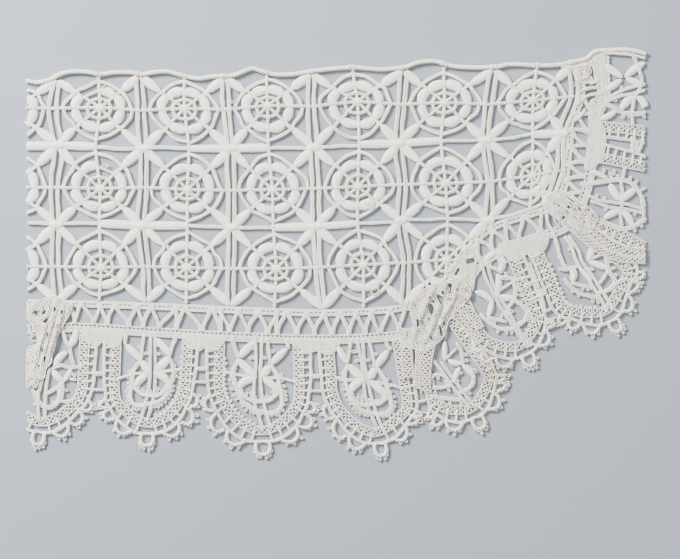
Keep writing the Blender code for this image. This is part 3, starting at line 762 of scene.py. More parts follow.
def plait(strands, path, width=PLAIT_WIDTH, height=PLAIT_HEIGHT, strand=STRAND, ends=0.5):
    """A braid of three strands along a flat path, drawn in to a share of its width at its ends."""
    path = spaced(path, PLAIT_PERIOD / PLAIT_STEPS, 5)
    across = normals(path)
    count = len(path)
    path = path + across * (wander(count, 0.1, 9) + wander(count, 0.2, 26))[:, None]
    angle = waves(count, PLAIT_STEPS)
    from_end = np.minimum(np.arange(count), np.arange(count)[::-1]) * PLAIT_PERIOD / PLAIT_STEPS
    narrow = ends + (1 - ends) * np.clip(from_end / 1.0, 0, 1)
    reach = (width / 2 - strand) * narrow * (1 + wander(count, 0.13, 3.5))
    for k in range(3):
        turn = angle + k * 2 * math.pi / 3
        flat = path + across * (reach * np.sin(turn))[:, None]
        strands.add(np.column_stack((flat, height + PLAIT_RISE * np.sin(2 * turn))), strand)


def twist(strands, path, width, strand):
    """Two threads twisted round each other: the thin bars and spokes."""
    path = spaced(path, TWIST_PERIOD / TWIST_STEPS, 4)
    across = normals(path)
    angle = waves(len(path), TWIST_STEPS)
    reach = width / 2 - strand
    for k in range(2):
        turn = angle + k * math.pi
        flat = path + across * (reach * np.sin(turn))[:, None]
        strands.add(np.column_stack((flat, PLAIT_HEIGHT + 0.8 * reach * np.cos(turn))), strand)


def tape(strands, path, width, shares):
    """Cloth stitch along a path: lengthwise threads at their shares of its width, and a weaver across them.

    Where two of them stand far apart, the weaver's passes are drawn together in pairs and leave pinholes."""
    path = spaced(path, TAPE_PITCH, 3)
    across = normals(path)
    count = len(path)
    half = width / 2 - THREAD
    for i, share in enumerate(shares):
        flat = path + across * (half * share + wander(count, 0.03, 5))[:, None]
        strands.add(np.column_stack((flat, TAPE_HEIGHT + 0.13 * (-1.0) ** (np.arange(count) + i))), THREAD)
    weaver = []
    for j in range(count):
        order = range(len(shares)) if j % 2 == 0 else range(len(shares) - 1, -1, -1)
        partner = min(j + 1, count - 1) if j % 2 == 0 else j - 1
        last = None
        for i in order:
            if last is not None and abs(shares[i] - last) > 0.6:
                pinched = path[j] + (path[partner] - path[j]) * 0.3
                weaver.append((*(pinched + across[j] * half * (shares[i] + last) / 2), TAPE_HEIGHT))
            last = shares[i]
            level = TAPE_HEIGHT - 0.16 * (-1.0) ** (j + i)
            weaver.append((*(path[j] + across[j] * half * shares[i]), level))
        between = (path[j] + path[min(j + 1, count - 1)]) / 2
        weaver.append((*(between + across[j] * half * math.copysign(1.08, last)), TAPE_HEIGHT))
    strands.add(np.array(weaver), THREAD * 0.92)


def within(points, corners):
    """Which flat points lie inside a closed outline."""
    x, y = points[:, 0], points[:, 1]
    held = np.zeros(len(points), dtype=bool)
    for (x0, y0), (x1, y1) in zip(corners, np.roll(corners, -1, axis=0)):
        if y0 != y1:
            held ^= ((y0 > y) != (y1 > y)) & (x < x0 + (y - y0) / (y1 - y0) * (x1 - x0))
    return held


def grown(loop, margin):
    """A closed outline pushed outward."""
    along = np.roll(loop, -1, axis=0) - np.roll(loop, 1, axis=0)
    outward = unit(np.column_stack((along[:, 1], -along[:, 0])))
    x, y = loop[:, 0], loop[:, 1]
    turned = math.copysign(1, (x * np.roll(y, -1) - np.roll(x, -1) * y).sum())
    return loop + outward * turned * margin


def cloth_level(flat, ridges):
    """How high close cloth lies: level where it has no ridges, or else crumpled and drawn up along them."""
    if not ridges:
        return np.full(len(flat), CLOTH_HEIGHT)
    x, y = flat[:, 0], flat[:, 1]
    crossed = np.sin(x * 1.9 + 1.1 * np.sin(y * 1.3)) * np.sin(y * 1.6 + 0.9 * np.sin(x * 1.1))
    lift = CRUMPLE + CRUMPLE * crossed
    for ridge in ridges:
        gap = np.sqrt(((flat[:, None] - ridge[None]) ** 2).sum(axis=2))
        share = gap.argmin(axis=1) / len(ridge)
        rise = FOLD_CREST * np.sin(math.pi * np.clip(share * 0.86 + 0.1, 0, 1)) ** 0.7
        lift = np.maximum(lift, rise * np.exp(-((gap.min(axis=1) / FOLD_REACH) ** 2)))
    return CLOTH_HEIGHT + FOLD_LIFT + lift


def cloth(strands, outline, bearing, holes=(), crests=()):
    """A patch of cloth stitch inside an outline, with its edge and its holes bound with thread."""
    pitch, reach = (FOLD_PITCH, FOLD_SWAY) if crests else (FLAT_PITCH, FLAT_SWAY)
    edge = smooth(world(outline), closed=True, steps=4)
    openings = [grown(smooth(world(hole), closed=True, steps=3), HOLE_BINDING) for hole in holes]
    ridges = [spaced(smooth(world(line)), 0.4) for line in crests]
    turn = math.radians(bearing)
    along = np.array((math.cos(turn), -math.sin(turn)))
    across = np.array((math.sin(turn), math.cos(turn)))
    centre = edge.mean(axis=0)
    half = int(np.linalg.norm(edge - centre, axis=1).max() / pitch) + 2
    steps = np.arange(-half, half + 1)
    for i in steps:
        even = (steps * pitch)[:, None]
        swayed = (i * pitch + reach * math.sin(i * 0.9) * np.sin(steps * 0.4))[:, None]
        passive = centre + along * even + across * swayed
        weaver = centre + along * swayed + across * even
        for line, hand in ((passive, 1), (weaver, -1)):
            kept = within(line, edge)
            for opening in openings:
                kept &= ~within(line, opening)
            level = cloth_level(line, ridges) + hand * 0.14 * (-1.0) ** (steps + i)
            for stretch in runs(np.column_stack((line, level)), kept):
                strands.add(stretch, THREAD * 1.02)
    for loop, radius in ((edge, EDGE_THREAD), *((opening, 0.2) for opening in openings)):
        closed = spaced(np.vstack((loop, loop[:1])), 0.5)
        strands.add(np.column_stack((closed, cloth_level(closed, ridges))), radius)


def half_stitch(strands, path, width, height):
    """Half stitch along a path: slanting threads that turn back at the edges, and a weaver between them."""
    path = spaced(path, HALF_STITCH_PITCH / 2, 5)
    across = normals(path)
    count = len(path)
    widths = np.atleast_1d(width)
    width = np.interp(np.linspace(0, 1, count), np.linspace(0, 1, len(widths)), widths)
    half = width / 2 - HALF_STITCH_THREAD
    along = np.arange(count) / (4 * HALF_STITCH_THREADS)
    sway = wander(count, 0.05, 4)
    for k in range(HALF_STITCH_THREADS):
        phase = (along + k / HALF_STITCH_THREADS) % 1
        swing = np.abs(phase * 4 - 2) - 1
        flat = path + across * (half * swing + sway)[:, None]
        strands.add(np.column_stack((flat, height + 0.15 * np.sign(phase - 0.5))), HALF_STITCH_THREAD)
    for edge in (-1, 1):
        flat = path + across * (half * edge * 1.03 + sway)[:, None]
        strands.add(np.column_stack((flat, np.full(count, height))), HALF_STITCH_THREAD * 1.15)
    for j in range(1, count - 1, 2):
        aside = half[j] * np.array([[-1], [-0.5], [0], [0.5], [1]]) + sway[j]
        rung = path[j] + across[j] * aside
        level = height + 0.1 * np.array([0, 1, -1, 1, 0])
        strands.add(np.column_stack((rung, level)), HALF_STITCH_THREAD * 0.85)


# A picot's loop: how far out as a share of its length, and how far aside in millimetres
PICOT = ((-0.1, 0.2), (0.4, 0.33), (0.85, 0.36), (1.05, 0.0), (0.85, -0.36), (0.4, -0.33), (-0.1, -0.2))


def picot(strands, at, toward, length=1.65):
    """A picot: a tight loop that reads as a bead with a nick at its end."""
    toward = toward / max(np.linalg.norm(toward), 1e-9)
    side = np.array((-toward[1], toward[0]))
    length = length * (1 + 0.15 * RNG.standard_normal())
    toward = toward + side * RNG.normal(0, 0.15)
    loop = smooth([at + toward * length * out + side * aside for out, aside in PICOT], steps=2)
    strands.add(np.column_stack((loop, np.full(len(loop), 0.62))), PICOT_THREAD)


def curl(strands, centre, reach, turns):
    """A sprung thread: a few uneven turns that lie on the work."""
    angle = np.linspace(0, 2 * math.pi * turns, int(turns * 14) + 4) + RNG.uniform(*ANY_ANGLE)
    uneven = 0.75 + 0.25 * np.sin(angle * 0.43 + RNG.uniform(*ANY_ANGLE)) + wander(len(angle), 0.08, 4)
    drift = np.column_stack((wander(len(angle), 0.3, 8), wander(len(angle), 0.3, 8)))
    turned = np.column_stack((np.cos(angle), 0.8 * np.sin(angle))) * (reach * SQUARE * uneven)[:, None]
    flat = world([centre])[0] + turned + drift
    strands.add(np.column_stack((flat, 1.0 + 0.25 * np.sin(angle * 1.7))), SPRUNG_THREAD)


def in_cell(hub, level, x, y):
    """A point of a compartment: x from -1 to 1 across, y from -1 (its foot) to 1 (its head)."""
    across = 1 if x >= 0 else -1
    up = -1 if y >= 0 else 1
    if not 0 <= hub + across < len(NET):
        across = -across
    middle, side = NET[hub][1 + level], NET[hub + across][1 + level]
    far_middle, far_side = NET[hub][1 + level + up], NET[hub + across][1 + level + up]
    if None in (middle, side, far_middle, far_side):
        return None
    return mix(mix(middle, side, abs(x)), mix(far_middle, far_side, abs(x)), abs(y))


def cell_path(hub, level, points):
    chart = [in_cell(hub, level, x, y) for x, y in points]
    if None in chart:
        return None
    return smooth(world(chart))


def in_scallop(index, x, y):
    """A point of the scallop's own chart, as in the CAD."""
    root, tip, half, *trails = SCALLOPS[index]
    trail_root, trail_foot = trails[1 if x > 0 else 0]
    middle = mix(root, tip, y / SCALLOP_LENGTH)
    level = mix(root, tip, TRAIL_REACH / SCALLOP_LENGTH)
    axis = np.array(tip, dtype=float) - root
    axis /= np.linalg.norm(axis)
    hand = 1 if x > 0 else -1
    fan = (hand * axis[1] * half, -hand * axis[0] * half)
    at_root = (trail_root[0] - root[0], trail_root[1] - root[1])
    at_foot = (trail_foot[0] - level[0], trail_foot[1] - level[1])
    if y < TRAIL_REACH:
        side = mix(at_root, at_foot, y / TRAIL_REACH)
    else:
        side = mix(at_foot, fan, min(1, (y - TRAIL_REACH) / (FAN_START - TRAIL_REACH)))
    share = abs(x) / SCALLOP_HALF_WIDTH
    return (middle[0] + side[0] * share, middle[1] + side[1] * share)


def scallop_path(index, points, flip=1):
    return smooth(world([in_scallop(index, flip * x, y) for x, y in points]))


def srgb(text):
    """A hex colour as linear values."""
    values = [int(text[k : k + 2], 16) / 255 for k in (0, 2, 4)]
    return tuple(v / 12.92 if v <= 0.04045 else ((v + 0.055) / 1.055) ** 2.4 for v in values) + (1.0,)


def new_material(name):
    material = bpy.data.materials.new(name)
    material.use_nodes = True
    material.node_tree.nodes.clear()
    return material


def node(material, kind, inputs=None, **settings):
    """Adds a node with its settings, and with its inputs as values or links."""
    made = material.node_tree.nodes.new(kind)
    for key, value in settings.items():
        setattr(made, key, value)
    for key, value in (inputs or {}).items():
        if isinstance(value, bpy.types.NodeSocket):
            material.node_tree.links.new(value, made.inputs[key])
        else:
            made.inputs[key].default_value = value
    return made


# What the linen's patterns measure: clouds of tone, stray fibres, the relief, and lanes across a woven leaf
CLOUDS_PER_METRE = 55.0
FIBRES_PER_METRE = 2600.0
RELIEF_MM = 0.08
LEAF_LANE_MM = 0.75
# The tan stain: its place in squares, how far it is solid and where it ends, and its colour
STAIN_PLACE = (*(world([(491, 373)])[0] * MM), 0.001)
STAIN_MM = (3.0, 8.5)
STAIN = "B9986C"


def linen_colour(material, place, light, shade):
    """Off-white in slow clouds, and the stain, which has soaked in unevenly."""
    cloud = node(material, "ShaderNodeTexNoise", {"Vector": place, "Scale": CLOUDS_PER_METRE, "Detail": 3.0})
    tones = {"Factor": cloud.outputs["Fac"], "A": srgb(light), "B": srgb(shade)}
    tone = node(material, "ShaderNodeMix", tones, data_type="RGBA")
    away = node(material, "ShaderNodeVectorMath", {0: place, 1: STAIN_PLACE}, operation="DISTANCE")
    near, far = (reach * MM for reach in STAIN_MM)
    fade = {"Value": away.outputs["Value"], "From Min": far, "From Max": near, "To Min": 0.0, "To Max": 0.8}
    soaked = node(material, "ShaderNodeMapRange", fade).outputs["Result"]
    patchy = node(material, "ShaderNodeMath", {0: soaked, 1: cloud.outputs["Fac"]}, operation="MULTIPLY")
    tones = {"Factor": patchy.outputs[0], "A": tone.outputs["Result"], "B": srgb(STAIN)}
    return node(material, "ShaderNodeMix", tones, data_type="RGBA").outputs["Result"]


def linen_relief(material, place, twist_mm, ribs):
    """The ply's slanting turns with stray fibres on them, or a leaf's ribs and lanes."""
    uv = node(material, "ShaderNodeUVMap", uv_map="thread")
    fibre = node(material, "ShaderNodeTexNoise", {"Vector": place, "Scale": FIBRES_PER_METRE, "Detail": 2.0})
    parts = node(material, "ShaderNodeSeparateXYZ", {"Vector": uv.outputs["UV"]})
    across = parts.outputs["X"]
    turns = node(material, "ShaderNodeMath", {0: parts.outputs["Y"], 1: 1 / twist_mm}, operation="MULTIPLY")
    if not ribs:
        turns = node(material, "ShaderNodeMath", {0: turns.outputs[0], 1: across}, operation="ADD")
    angle = node(material, "ShaderNodeMath", {0: turns.outputs[0], 1: 2 * math.pi}, operation="MULTIPLY")
    relief = node(material, "ShaderNodeMath", {0: angle.outputs[0]}, operation="SINE")
    if ribs:
        lanes = {0: across, 1: 2 * math.pi / LEAF_LANE_MM}
        angle = node(material, "ShaderNodeMath", lanes, operation="MULTIPLY").outputs[0]
        lane = node(material, "ShaderNodeMath", {0: angle}, operation="COSINE").outputs[0]
        relief = node(material, "ShaderNodeMath", {0: relief.outputs[0], 1: lane}, operation="ADD")
    rough = node(material, "ShaderNodeMath", {0: fibre.outputs["Fac"], 1: 0.9}, operation="MULTIPLY")
    surface = node(material, "ShaderNodeMath", {0: relief.outputs[0], 1: rough.outputs[0]}, operation="ADD")
    bump = {"Height": surface.outputs[0], "Strength": 0.55, "Distance": RELIEF_MM * MM}
    return node(material, "ShaderNodeBump", bump).outputs["Normal"]


def linen(name, light, shade, twist_mm, ribs=False):
    """Washed linen thread. To the eye it is matt and off-white, with the short slanting ridges of its twist.

    The twist is drawn coarser than a real thread's, so that it shows in the render."""
    material = new_material(name)
    place = node(material, "ShaderNodeTexCoord").outputs["Object"]
    finish = {
        "Base Color": linen_colour(material, place, light, shade),
        "Normal": linen_relief(material, place, twist_mm, ribs),
        "Roughness": 0.86,
        "Specular IOR Level": 0.25,
    }
    shader = node(material, "ShaderNodeBsdfPrincipled", finish)
    node(material, "ShaderNodeOutputMaterial", {"Surface": shader.outputs["BSDF"]})
    return material


# Plaits show the slant of their plies, and leaves show ribs across. Cloth stitch is a shade darker, as close
# work is once it is washed. The cord's longer twist makes it look smooth.
THREAD_LINEN = linen("plaited linen thread", "F6F2E9", "EAE3D3", 0.55)
LEAF_LINEN = linen("woven leaf linen", "F8F4EB", "EDE6D7", 0.42, ribs=True)
CLOTH_LINEN = linen("cloth stitch linen", "F4EFE4", "E8E0CF", 0.5)
CORD_LINEN = linen("heading cord linen", "F7F2E8", "EAE2D1", 0.7)

# The net
plaits = Strands("net_plaits", region="net")
spokes = Strands("net_spokes", region="net")
leaves = Leaves("net_leaves", region="net")

UPRIGHT_STEPS = 14
# How far each half of a double upright lies from its middle, and how far a bar draws it in, in millimetres
UPRIGHT_OFFSET, UPRIGHT_PINCH = 1.16, 0.42
# Half a compartment and the reach of that pinch, in squares
HALF_CELL, PINCH_REACH = 38, 4.5
# Half a bar at least this wide is a woven leaf
LEAST_LEAF = 6.5
PAD_HALF = 6

# A wheel's quarter in its compartment's chart: the ring, the corners of its two leaves, and its small ring
RING = ((0.80, 0.0), (0.73, 0.21), (0.61, 0.42), (0.50, 0.56), (0.27, 0.73), (0.0, 0.85))
LEAF_NODES = ((0.535, 0.0), (0.385, 0.385), (0.0, 0.54))
SMALL_RING = ((0.28, 0.0), (0.2, 0.2), (0.0, 0.285))
CORNER_LEAF = ((0.98, 0.98), (0.77, 0.76), (0.55, 0.54))
LINK = ((0.60, 0.58), (0.48, 0.48), (0.36, 0.36))
DIAGONAL = ((0, 0), (0.18, 0.18), (0.36, 0.36))
# Ring leaves that are worn away: hub, level, side, up or down, and which of the quarter's two
LOST_LEAVES = {(2, 1, -1, 1, 1), (2, 3, 1, 1, 1)}


def make_upright(index):
    """A double plait from the heading to the seam, drawn together at each bar."""
    line = smooth(world([stop for stop in NET[index][1:] if stop]), steps=UPRIGHT_STEPS)
    across = normals(line)
    share = np.arange(len(line)) / UPRIGHT_STEPS
    near_bar = np.exp(-(((share / 2 - np.round(share / 2)) * 2 * HALF_CELL / PINCH_REACH) ** 2))
    offset = UPRIGHT_OFFSET - UPRIGHT_PINCH * near_bar
    for hand in (-1, 1):
        plait(plaits, line + across * (hand * offset)[:, None], ends=0.7)


def make_bar(level, widths):
    """A bar across the net, by turns a woven leaf and a plait."""
    for index, width in enumerate(widths):
        a, b = NET[index][1 + level], NET[index + 1][1 + level]
        if a is None or b is None:
            continue
        line = smooth(world([a, mix(a, b, 0.5), b]))
        if width > LEAST_LEAF:
            leaves.add(line, width * SQUARE, thickness=1.0, blunt=1.9)
        else:
            plait(plaits, line, width=max(1.5, width * SQUARE * 0.92), ends=0.8)


def make_pads(level):
    """The woven pads where the uprights cross a bar."""
    for index in range(1, len(NET), 2):
        stop = NET[index][1 + level]
        if stop is not None:
            row = [(stop[0] - PAD_HALF, stop[1]), stop, (stop[0] + PAD_HALF, stop[1])]
            leaves.add(smooth(world(row)), 3.1, thickness=1.4, blunt=1.6)


def make_ring_leaves(hub, level, sx, sy):
    """The two leaves of a wheel's quarter, or a bare twist where one has worn away."""
    corners = [in_cell(hub, level, sx * x, sy * y) for x, y in LEAF_NODES]
    centre = in_cell(hub, level, 0, 0)
    for k, (a, b) in enumerate(zip(corners, corners[1:])):
        if (hub, level, sx, sy, k) in LOST_LEAVES:
            twist(spokes, world([mix(centre, a, 0.9), mix(centre, b, 0.98)]), width=1.3, strand=0.36)
        else:
            bow = mix(centre, mix(a, b, 0.5), 1.07 + RNG.normal(0, 0.025))
            leaves.add(smooth(world([a, bow, b])), 10.0 * SQUARE, thickness=0.95, blunt=0.8)


def make_quarter(hub, level, sx, sy):
    """A quarter of a wheel: its ring, leaves, link to the small ring, and spoke."""

    def flipped(points):
        return cell_path(hub, level, [(sx * x, sy * y) for x, y in points])

    pull = RNG.normal(0, 0.022, len(RING))
    pull[[0, -1]] = 0
    ring = cell_path(hub, level, [(sx * x * (1 + p), sy * y * (1 + p)) for (x, y), p in zip(RING, pull)])
    if ring is None:
        return
    plait(plaits, ring, width=1.6, ends=0.75)
    make_ring_leaves(hub, level, sx, sy)
    leaves.add(flipped(CORNER_LEAF), 9.4 * SQUARE, thickness=0.95, blunt=0.5)
    plait(plaits, flipped(LINK), width=1.6)
    twist(spokes, flipped(SMALL_RING), width=1.65, strand=0.42)
    twist(spokes, flipped(DIAGONAL), width=1.5, strand=0.4)


def make_wheel(hub, level):
    """A compartment's wheel, as far as its quarters lie on the chart, with a pad at its hub."""
    sides = [sx for sx in (-1, 1) if 0 <= hub + sx < len(NET)]
    for sx in sides:
        for sy in (-1, 1):
            make_quarter(hub, level, sx, sy)
    for sx in sides:
        spoke = cell_path(hub, level, [(0, 0), (sx * 0.5, 0), (sx * 1.0, 0)])
        if spoke is not None:
            twist(spokes, spoke, width=1.6, strand=0.41)
    for sy in (-1, 1):
        spoke = cell_path(hub, level, [(0, 0), (0, sy * 0.5), (0, sy * 1.0)])
        if spoke is not None:
            twist(spokes, spoke, width=1.6, strand=0.41)
            pad = cell_path(hub, level, [(0.1, 0.01 * sy), (0.0, 0.012 * sy), (-0.1, 0.01 * sy)])
            leaves.add(pad, 2.6, thickness=1.3, blunt=0.8)


for index in range(1, len(NET), 2):
    make_upright(index)
for level, widths in BAR_WIDTHS.items():
    make_bar(level, widths)
for level in BAR_WIDTHS:
    make_pads(level)
for hub in range(0, len(NET), 2):
    for level in WHEEL_LEVELS:
        if NET[hub][1 + level] is not None:
            make_wheel(hub, level)

# The border's band: a sewn edge, the zigzag and the woven tape that carries the scallops
tapes = Strands("border_tapes")
zigzag = Strands("border_zigzag")
SEAM_TAPE_WIDTH, SEAM_TAPE_SHIFT = 2.6, 0.75
SEAM_TAPE_SHARES = (-1.0, -0.7, -0.38, 0.42, 0.7, 1.0)
WOVEN_TAPE_WIDTH, WOVEN_TAPE_SHIFT = 3.5, 1.35
WOVEN_TAPE_SHARES = (-0.98, -0.68, -0.36, -0.04, 0.24, 0.88, 1.02)
# One arm of the zigzag: how far along it has come, and how far down the band
ZIGZAG_ARM = ((0.07, 0.06), (0.17, 0.24), (0.54, 0.50), (0.87, 0.76), (0.95, 1.0))
SEAM_WALK = walked(SEAM)


def in_band(distance, share):
    """A point of the band in millimetres: share 0 on the seam and 1 on the tape's upper edge."""
    inner = [np.interp(distance, SEAM_WALK, SEAM[:, k]) for k in (0, 1)]
    outer = [np.interp(distance, SEAM_WALK, TAPE[:, k]) for k in (0, 1)]
    return world([mix(inner, outer, share)])[0]


def walk_to(point):
    """How far along the seam a point of the band lies."""
    return SEAM_WALK[np.argmin((((SEAM + TAPE) / 2 - np.array(point)) ** 2).sum(axis=1))]


def make_zigzag(run):
    """A run of arms that go down and up by turns."""
    stops = [walk_to(point) for point in run]
    for k, (a, b) in enumerate(zip(stops, stops[1:])):
        top, foot = (a, b) if k % 2 == 0 else (b, a)
        arm = [in_band(top + (foot - top) * across, share) for across, share in ZIGZAG_ARM]
        plait(zigzag, smooth(arm), width=1.8, ends=1.0)


tape(tapes, SEAM_MM - normals(SEAM_MM) * SEAM_TAPE_SHIFT, SEAM_TAPE_WIDTH, SEAM_TAPE_SHARES)
tape(tapes, TAPE_MM - normals(TAPE_MM) * WOVEN_TAPE_SHIFT, WOVEN_TAPE_WIDTH, WOVEN_TAPE_SHARES)
for run in ZIGZAG_RUNS:
    make_zigzag(run)

# The scallops
members = Strands("scallop_plaits")
scallop_leaves = Leaves("scallop_leaves")
edging = Strands("scallop_edging")
# Half a scallop in its own chart: the middle of its half-stitch ring, the plait round that, and the loops of
# its outer edge
RING_LINE = ((38.3, 4), (38.3, 22), (38.3, 40), (38.3, 54), (36, 68), (29, 81), (18, 92), (6, 98), (0, 98.5))
RING_WIDTHS = (3.8, 3.8, 3.8, 3.7, 3.5, 3.4)
OUTER_LINE = (
    (50.5, 8), (50, 24), (49.5, 40), (48, 54), (46, 69), (41, 81), (36, 92), (27, 102), (17, 108), (6, 110),
    (0, 110),
)
LOOPS = (
    ((46, 66), (51, 68), (53, 73), (51, 78), (45, 79)),
    ((43, 81), (48, 86), (49, 93), (44, 98), (37, 96)),
    ((34, 97), (35, 105), (30, 111), (23, 111), (17, 108)),
    ((6.5, 110), (7, 117), (4, 122), (0, 122.5)),
)
LOOP_PICOTS = (0.3, 0.56, 0.8)
# Sides of scallops whose ring has picots along its inside
PICOT_RINGS = ((1, 1), (5, 1), (2, -1), (6, -1))
MIRRORED_SCALLOP = 1
LAST_PLAIN_SCALLOP = 3


def make_ring(index, side):
    """Half of a scallop's ring. Neighbours lie at different heights, since they overlap."""
    lift = 0.6 + 0.07 * (index % 2) + 0.03 * (side > 0)
    half_stitch(tapes, scallop_path(index, RING_LINE, side), RING_WIDTHS, lift)


def make_edge(index, side):
    """Half of a scallop's outer edge: a plait, loops with picots, and bars back to the ring."""
    outer = scallop_path(index, OUTER_LINE, side)
    plait(edging, outer, width=1.5, strand=0.33)
    middle = world([in_scallop(index, side * 0.01, 80)])[0]
    for loop in LOOPS:
        path = scallop_path(index, loop, side)
        twist(edging, path, width=1.75, strand=0.46)
        for at in LOOP_PICOTS:
            point = path[int(at * (len(path) - 1))]
            picot(edging, point, point - middle)
    inner = scallop_path(index, RING_LINE, side)
    half = len(outer) // 2
    for point in np.vstack((spaced(outer[:half], 2.9)[1:], spaced(outer[half:], 4.0)[1:-1])):
        foot = inner[np.argmin(((inner - point) ** 2).sum(axis=1))]
        twist(edging, np.array([foot, (foot + point) / 2, point]), width=1.2, strand=0.33)


def work(shape, leaves, plaits, picots):
    """Leaves, plaits and picots inside one scallop, with the shape that turns their points into a path."""
    for width, *path in leaves:
        scallop_leaves.add(shape(path), 0.96 * width * SQUARE, thickness=0.9, blunt=0.12)
    for width, *path in plaits:
        strand = min(STRAND, width * SQUARE * 0.25)
        plait(members, shape(path), width=1.12 * width * SQUARE, strand=strand, ends=0.8)
    for x, y, right, down in picots:
        start, end = shape(((x, y), (x + right, y + down)))[[0, -1]]
        picot(members, start, end - start)


def make_working(index):
    """What fills a scallop: the plain pattern, or what its own table says."""
    if index in WORKINGS:
        work(lambda points: smooth(world(points)), **WORKINGS[index])
        return
    flip = -1 if index == MIRRORED_SCALLOP else 1
    working = LAST_PLAIN_WORKING if index == LAST_PLAIN_SCALLOP else PLAIN_WORKING
    work(lambda points: scallop_path(index, points, flip), **working)


def make_ring_picots(index, side):
    inner = spaced(scallop_path(index, RING_LINE[1:], side), 1.9)
    middle = world([in_scallop(index, 0, 56)])[0]
    for point, way in zip(inner[1:-2], normals(inner)[1:-2]):
        way = way * math.copysign(1, np.dot(way, middle - point))
        picot(members, point + way * 1.5, way, length=0.9)


for index in range(len(SCALLOPS)):
    for side in (-1, 1):
        make_ring(index, side)
        make_edge(index, side)
    make_working(index)
for index, side in PICOT_RINGS:
    make_ring_picots(index, side)

# The trails between the scallops, and the folds where the border is gathered round the net's turns
trails = Strands("border_trails")
folds = Strands("border_cloths")
TRAIL_ROWS = (38, 39.5, 53)
TRAIL_SIDE = 49
STRIP_HEIGHT, STRIP_STEP = 1.17, 0.055

for index in range(len(SCALLOPS) - 1):
    for y in TRAIL_ROWS:
        a, b = in_scallop(index, TRAIL_SIDE, y), in_scallop(index + 1, -TRAIL_SIDE, y)
        twist(trails, spaced(smooth(world([a, mix(a, b, 0.5), b])), 0.4), width=1.5, strand=0.38)
for patch in CLOTHS:
    cloth(folds, **patch)
for k, (width, *path) in enumerate(STRIPS):
    half_stitch(trails, smooth(world(path)), width * SQUARE, STRIP_HEIGHT + STRIP_STEP * k)
for width, *path in CORNER_BARS:
    plait(trails, smooth(world(path)), width=width * SQUARE, strand=0.34, height=0.9, ends=0.9)
for centre, reach, turns in TANGLES:
    curl(trails, centre, reach, turns)

# The heading cord
cord = Strands("heading_cord_lay", sides=6, region="heading")
CORD_STRANDS = 3
CORD_LAY = 0.42
CORD_STEPS = 7
# Where the whipping goes over the cord beside each top of the net, in squares
WHIPPING_SHIFTS = (-2.6, -0.6, 1.6)
WHIPPING_WIDE, WHIPPING_HIGH = 0.98, 0.92


def lay_cord(route, across):
    """Three strands laid round each other."""
    for k in range(CORD_STRANDS):
        turn = np.arange(len(route)) * 2 * math.pi / CORD_STEPS + k * 2 * math.pi / CORD_STRANDS
        flat = route + across * (CORD_LAY * np.sin(turn))[:, None]
        cord.add(np.column_stack((flat, CORD_HEIGHT + CORD_LAY * np.cos(turn))), CORD_STRAND)


def whip_cord(route, across, column):
    """A turn of fine thread over the cord, where the route comes by a column."""
    place = np.argmin(np.abs(route[:, 0] - world([(column, 0)])[0, 0]))
    if 2 < place < len(route) - 2:
        turn = np.linspace(-0.25 * math.pi, 1.25 * math.pi, 9)
        aside = across[place] * (WHIPPING_WIDE * np.cos(turn))[:, None]
        flat = route[place] + aside + RNG.normal(0, 0.03, 2)
        flat[:, 0] += np.linspace(-0.3, 0.3, 9)
        cord.add(np.column_stack((flat, CORD_HEIGHT + WHIPPING_HIGH * np.sin(turn))), WHIPPING_THREAD)


route = spaced(smooth(world(HEADING_ROUTE)), 0.55)
across = normals(route)
lay_cord(route, across)
for _, top, *_ in NET:
    for shift in WHIPPING_SHIFTS:
        whip_cord(route, across, top[0] + shift)

pieces = [
    (plaits, THREAD_LINEN, "net_linen"),
    (spokes, THREAD_LINEN, "net_linen"),
    (leaves, LEAF_LINEN, "net_linen"),
    (tapes, CLOTH_LINEN, "border_linen"),
    (zigzag, THREAD_LINEN, "border_linen"),
    (trails, CLOTH_LINEN, "border_linen"),
    (folds, CLOTH_LINEN, "border_linen"),
    (members, THREAD_LINEN, "border_linen"),
    (scallop_leaves, LEAF_LINEN, "border_linen"),
    (edging, THREAD_LINEN, "border_linen"),
    (cord, CORD_LINEN, "heading_linen"),
]
for source, material, slot in pieces:
    piece = source.make(material)
    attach(piece, "root")

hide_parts("wheel_net")
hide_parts("scalloped_border")
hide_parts("heading_cord")

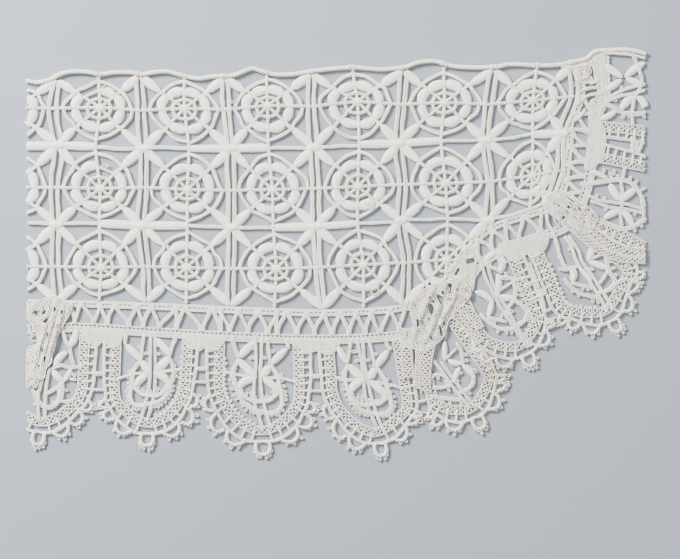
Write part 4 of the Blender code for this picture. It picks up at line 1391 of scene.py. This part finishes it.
# The floor: pale matt paper, plain to the eye, so that the threads and their shadows show
FLOOR_HALF = 3
floor_mesh = bpy.data.meshes.new("floor")
floor_corners = [(x * FLOOR_HALF, y * FLOOR_HALF, 0) for x, y in ((-1, -1), (1, -1), (1, 1), (-1, 1))]
floor_mesh.from_pydata(floor_corners, [], [(0, 1, 2, 3)])
floor = bpy.data.objects.new("floor", floor_mesh)
bpy.context.scene.collection.objects.link(floor)
paper = new_material("pale paper")
paper_shader = node(paper, "ShaderNodeBsdfPrincipled", {"Base Color": srgb("8E959D"), "Roughness": 0.9})
node(paper, "ShaderNodeOutputMaterial", {"Surface": paper_shader.outputs["BSDF"]})
floor_mesh.materials.append(paper)


def area_light(name, place, size, power):
    """A round studio light that points at the middle of the lace."""
    light = bpy.data.lights.new(name, "AREA")
    light.shape = "DISK"
    light.size = size
    light.energy = power
    lamp = bpy.data.objects.new(name, light)
    bpy.context.scene.collection.objects.link(lamp)
    lamp.location = place
    x, y, z = place
    lamp.rotation_euler = (math.acos(z / math.hypot(x, y, z)), 0, math.atan2(-y, -x) - math.pi / 2)


area_light("key light", (-0.55, 0.50, 0.50), size=0.30, power=33)
area_light("fill light", (0.6, -0.4, 0.7), size=0.8, power=5.0)
studio = bpy.data.worlds.new("studio")
bpy.context.scene.world = studio
studio.use_nodes = True
background = studio.node_tree.nodes["Background"]
background.inputs["Color"].default_value = (0.9, 0.94, 1.0, 1)
background.inputs["Strength"].default_value = 0.55

# The camera looks straight down, as in the photo, and frames as many squares as the photo has
PHOTO_WIDTH, PHOTO_HEIGHT = 680, 559
FRAME_SHIFT = 0.7
LENS, SENSOR = 100, 36
camera_data = bpy.data.cameras.new("camera")
camera_data.lens = LENS
camera_data.sensor_width = SENSOR
camera = bpy.data.objects.new("camera", camera_data)
bpy.context.scene.collection.objects.link(camera)
x, y = world([(PHOTO_WIDTH / 2 - FRAME_SHIFT, PHOTO_HEIGHT / 2 - FRAME_SHIFT)])[0] * MM
camera.location = (x, y, PHOTO_WIDTH * SQUARE * MM * LENS / SENSOR)
bpy.context.scene.camera = camera
